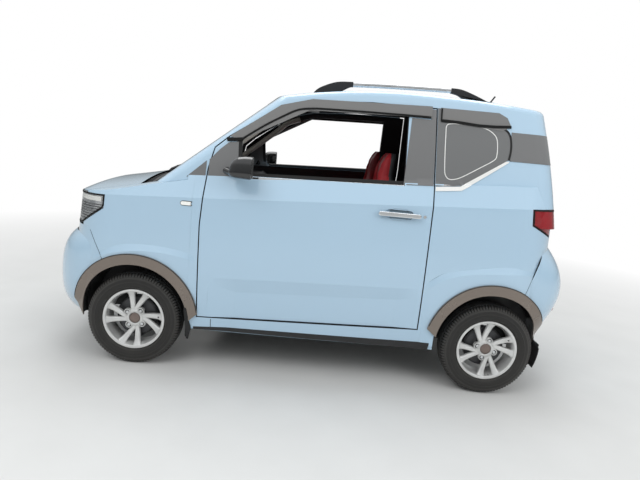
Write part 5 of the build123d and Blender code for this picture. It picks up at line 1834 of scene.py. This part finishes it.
def makeControls():
    wx, wy, wz = cabin["wheel"]
    turn = Matrix.Rotation(math.radians(cabin["tilt"]), 4, "Y")
    place = Matrix.Translation((wx, wy, wz)) @ turn
    axis = (turn @ Vector((0, 0, 1, 0))).to_3d()
    towardDash = -axis if axis.x > 0 else axis
    distances, radii = controls["column"]
    column = tube("column", [Vector((wx, wy, wz)) + towardDash * d for d in distances], list(radii), 20)
    finishPiece(column, "plastic_black", "chassis", angle=50)
    parts = []
    for sign in (-1, 1):
        base = Vector((wx, wy, wz)) + towardDash * 0.070
        line = [base + Vector((0, sign * out, up)) for out, up in controls["stalk"]]
        parts.append(tube("stalk", line, [0.006, 0.006, 0.009], 10))
    finishPiece(joined("columnStalks", parts), "plastic_black", "chassis", angle=50)
    dash = SkinFinder(["dashboard"])
    parts = [blockPiece("binnacle", *controls["binnacle"], 0.008, 3)]
    face = dash.rear(-0.30, 0.985, 0.0)
    parts.append(blockPiece("screenBack", (face.x - 0.004, -0.415, 0.948), (face.x + 0.012, -0.185, 1.022),
                            0.006, 3))
    finishPiece(joined("clusterHood", parts), "plastic_black", "chassis", angle=40)
    pane = blockPiece("clusterGlass", (face.x + 0.011, -0.405, 0.956), (face.x + 0.0140, -0.195, 1.014),
                      0.001, 2)
    finishPiece(pane, "screen_black", "chassis", angle=40)
    parts = []
    height, (wide, tall), step = controls["ventHeight"], controls["ventHalf"], controls["vaneStep"]
    for y in controls["vents"]:
        p = dash.rear(y, height, 0.0)
        parts.append(tube("ventRing", [(p.x + 0.004, y + wide * math.cos(a), height + tall * math.sin(a))
                                       for a in np.linspace(0, tau, 25)[:-1]], 0.005, 8, True))
        for k in (-2, -1, 0, 1, 2):
            half = controls["vaneHalf"] * math.sqrt(1 - (k * step / tall) ** 2)
            parts.append(tube("vane", [(p.x + 0.003, y + sign * half, height + k * step) for sign in (-1, 1)],
                              0.0022, 6))
    height = controls["knobHeight"]
    p = dash.rear(0, height, 0.0)
    for y in controls["knobs"]:
        parts.append(tube("knob", [(p.x - 0.004, y, height), (p.x + 0.020, y, height)], [0.015, 0.013], 20))
    lid = roundedOutline(controls["lid"], 0.02, 5)
    parts.append(hugRibbon("gloveLid", dash, "rear", densified(lid, 0.02), 0.004, -0.001, 0.0015, True))
    finishPiece(joined("dashFittings", parts), "gloss_black", "chassis", angle=40)
    parts = [blockPiece("tunnel", *controls["tunnel"], 0.018, 4)]
    x, height, radius = controls["cup"]
    parts.append(tube("cup", [(x + radius * math.cos(a), radius * math.sin(a), height)
                              for a in np.linspace(0, tau, 25)[:-1]], 0.005, 8, True))
    parts.append(tube("lever", controls["lever"], [0.012, 0.010, 0.013], 12))
    parts.append(tube("selector", controls["selector"], [0.024, 0.022, 0.016], 24))
    finishPiece(joined("console", parts), "plastic_black", "chassis", angle=40)
    parts = []
    for y, width in controls["pedals"]:
        parts.append(blockPiece("pad", (-0.640, y - width / 2, 0.372), (-0.626, y + width / 2, 0.440),
                                0.005, 3))
        parts.append(tube("arm", [(-0.645, y, 0.420), (-0.680, y, 0.520), (-0.700, y, 0.600)], 0.007, 8))
    finishPiece(joined("pedals", parts), "steel_dark", "chassis", angle=40)
    hub = blockPiece("wheelPad", *controls["wheelPad"], 0.016, 4)
    hub.data.transform(place)
    finishPiece(hub, "plastic_black", "chassis", angle=40)


def flatStrap(name, points, width, thick, across):
    verts = []
    line = [Vector(p) for p in points]
    for i, p in enumerate(line):
        along = (line[min(i + 1, len(line) - 1)] - line[max(i - 1, 0)]).normalized()
        side = (Vector(across) - along * along.dot(Vector(across))).normalized() * width / 2
        up = along.cross(side).normalized() * thick / 2
        verts += [p - side - up, p + side - up, p + side + up, p - side + up]
    faces = gridFaces(len(line), 4, False, True) + endCaps(len(line), 4)
    return meshObject(name, verts, faces)


def makeBelts():
    straps = []
    guides = []
    for sign in (-1, 1):
        top = [(0.640, 0.545, 1.190), (0.630, 0.545, 1.050), (0.620, 0.548, 0.850), (0.612, 0.550, 0.640),
               (0.606, 0.552, 0.440)]
        points = [(x, sign * y, z) for x, y, z in top]
        dense = [points[0]]
        for a, b in zip(points, points[1:]):
            dense += [tuple(Vector(a).lerp(Vector(b), t)) for t in (0.25, 0.5, 0.75, 1)]
        straps.append(flatStrap("beltStrap", dense, 0.046, 0.0016, (1, 0, 0)))
        guides.append(blockPiece("beltGuide", (0.612, sign * 0.552 - 0.010, 1.172),
                                 (0.668, sign * 0.552 + 0.010, 1.210), 0.006, 3))
    finishPiece(joined("beltStraps", straps), "fabric_black", "chassis", angle=50)
    finishPiece(joined("beltGuides", guides), "plastic_black", "chassis", angle=40)


makeDoorCards()
makeLining()
makeControls()
makeBelts()
print("cabin lining, controls and belts done")

# wheel arches: liner ends, a thin black line on the outer edge of each trim as painted shade of its step, the
# seams beside them, and a black strip along each sill as painted shade under it

arches = [
    # axle, height of the arch centre, liner angles, angles of the painted trim shade line, how far out the
    # liner reaches
    (frontAxle, 0.276, (150, 186), (9, 170), 0.650),
    (rearAxle - 0.008, 0.285, (-22, 40), (25, 167), 0.610),
]


archLook = {
    "steps": 14, "feel": 0.300, "liner": (0.2975, 0.3005), "outerStop": -0.705,
    "inner": (-0.50, 0.10), "fade": (178, 12),  # the inner edge, how far it moves, from which angle and over
    "trimShadeLine": 0.3455,
}
bodyLines = {
    "front": [(-0.252, 0.722), (-0.236, 0.694), (-0.183, 0.598), (-0.172, 0.575)],  # from the front axle
    "rear": [(0.232, 0.800), (0.208, 0.734), (0.169, 0.617), (0.160, 0.590)],  # from the rear axle
    "joint": [(-0.524, 0.296), (-0.524, 0.236)],
    "sillHeight": 0.2375,
    "sill": [(-0.618, 0.009), (-0.44, 0.004), (0.703, 0.0092)],  # place, and step between the ribbons
}


def makeArchDetails():
    skin = SkinFinder(["arch_trims", "bumper_front", "bumper_rear", "side_left", "wing_left"])
    trims = SkinFinder(["arch_trims"])
    liners = []
    for axle, height, angles, edges, reach in arches:
        verts = []
        steps, feel = archLook["steps"], archLook["feel"]
        near, far = archLook["liner"]
        for k in range(steps + 1):
            turn = angles[0] + (angles[1] - angles[0]) * k / steps
            a = math.radians(turn)
            outer = skin.side(axle + feel * math.cos(a), height + feel * math.sin(a)).y + 0.006
            outer = min(max(outer, archLook["outerStop"]), -reach)
            fade = min(max((turn - archLook["fade"][0]) / archLook["fade"][1], 0), 1)
            inner = archLook["inner"][0] - archLook["inner"][1] * fade
            for r, y in ((near, outer), (near, inner), (far, inner), (far, outer)):
                verts.append((axle + r * math.cos(a), y, height + r * math.sin(a)))
        faces = gridFaces(steps + 1, 4, False, True) + endCaps(steps + 1, 4)
        liners.append(meshObject("liner", verts, faces))
        # a thin black line round the trim's outer edge: painted shade of the step where the trim stands proud
        # of the body
        line = [(axle + archLook["trimShadeLine"] * math.cos(math.radians(d)),
                 height + archLook["trimShadeLine"] * math.sin(math.radians(d))) for d in range(*edges, 2)]
        edge = hugRibbon("trimShadeLine", trims, "side", line, 0.0035, -0.0005, 0.0008)
        tag = "Front" if axle < 0 else "Rear"
        bothSides(joined(f"trimShadeLine{tag}Left", [edge]), "gap_black", "chassis", angle=60)
    bothSides(joined("archLinerEndsLeft", liners), "plastic_black", "chassis", angle=60)
    body = SkinFinder(["wing_left", "bumper_front", "side_left", "bumper_rear"])
    seams = [[(axle + x, z) for x, z in bodyLines[kind]]
             for axle, kind in ((frontAxle, "front"), (rearAxle, "rear"))]
    lines = [hugRibbon("seam", body, "side", densified(s, 0.012, False), 0.0022, -0.0005, 0.0006)
             for s in seams]
    sillJoint = hugRibbon("joint", SkinFinder(["side_left", "floor_pan"]), "side",
                          densified(bodyLines["joint"], 0.006, False),
                          0.003, -0.0005, 0.0006)
    # a black strip along the lower edge of the sill, rising towards the rear: painted shade under the sill
    sill = SkinFinder(["side_left"])
    fan = []
    for k in (-1, 0, 1, 2, 3):
        rise = k if k > 0 else 0.5 * k
        line = [(x, bodyLines["sillHeight"] + step * lift)
                for (x, step), lift in zip(bodyLines["sill"], (min(rise, 0), rise, rise))]
        fan.append(hugRibbon("sillEdge", sill, "side", densified(line, 0.03, False), 0.0102, -0.001,
                             0.0008 + 0.0001 * k))
    bothSides(joined("sillEdgeLeft", fan), "plastic_black", "chassis", angle=60)
    bothSides(joined("bodySeamsLeft", lines + [sillJoint]), "gap_black", "chassis", angle=60)


makeArchDetails()
print("arch details done")

# mud flaps: rounded rubber plates behind the wheels

flaps = {"round": 0.026, "thick": 0.006, "side": -0.735, "front": (-0.716, -0.580, 0.172, 0.288),
         "rear": (-0.664, -0.560, 0.196, 0.300)}


def makeFlaps():
    low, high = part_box("mud_flaps")
    plates = []
    for kind in ("front", "rear"):
        y0, y1, z0, z1 = flaps[kind]
        outline = roundedOutline([(y0, z1), (y0 + 0.006, z0), (y1, z0 + 0.006), (y1, z1)],
                                 [0.002, flaps["round"], 0.014, 0.002], 6)
        x1 = high[0] if kind == "rear" else low[0] + flaps["thick"]
        near, far = ([(x1 - t, y, z) for y, z in outline] for t in (flaps["thick"], 0.0))
        plates.append(plateBetween("flap", near, far))
    # the outer wing of the front flap, over the lower end of the arch trim
    skin = SkinFinder(["arch_trims", "side_left"])
    verts = []
    outline = roundedOutline([(-0.668, 0.352), (-0.655, 0.352), (-0.629, 0.236), (-0.640, 0.170),
                              (-0.651, 0.174)], [0.003] * 5, 4)
    for x, z in outline:
        spot = skin.hit((x, -3, max(z, 0.25)), (0, 1, 0), 0.001)
        verts.append((x, spot.y if spot is not None else flaps["side"], z))
    plates.append(plateBetween("flap", verts, [(x, y - 0.004, z) for x, y, z in verts]))
    left = joined("mudFlapsDressed", plates)
    both = joined("mudFlapsDressed", [left, mirroredCopy(left, "mudFlapsRight")])
    finishPiece(both, "rubber_black", "chassis", ("mud_flaps",), 0.0, 40)


makeFlaps()
print("flaps done")
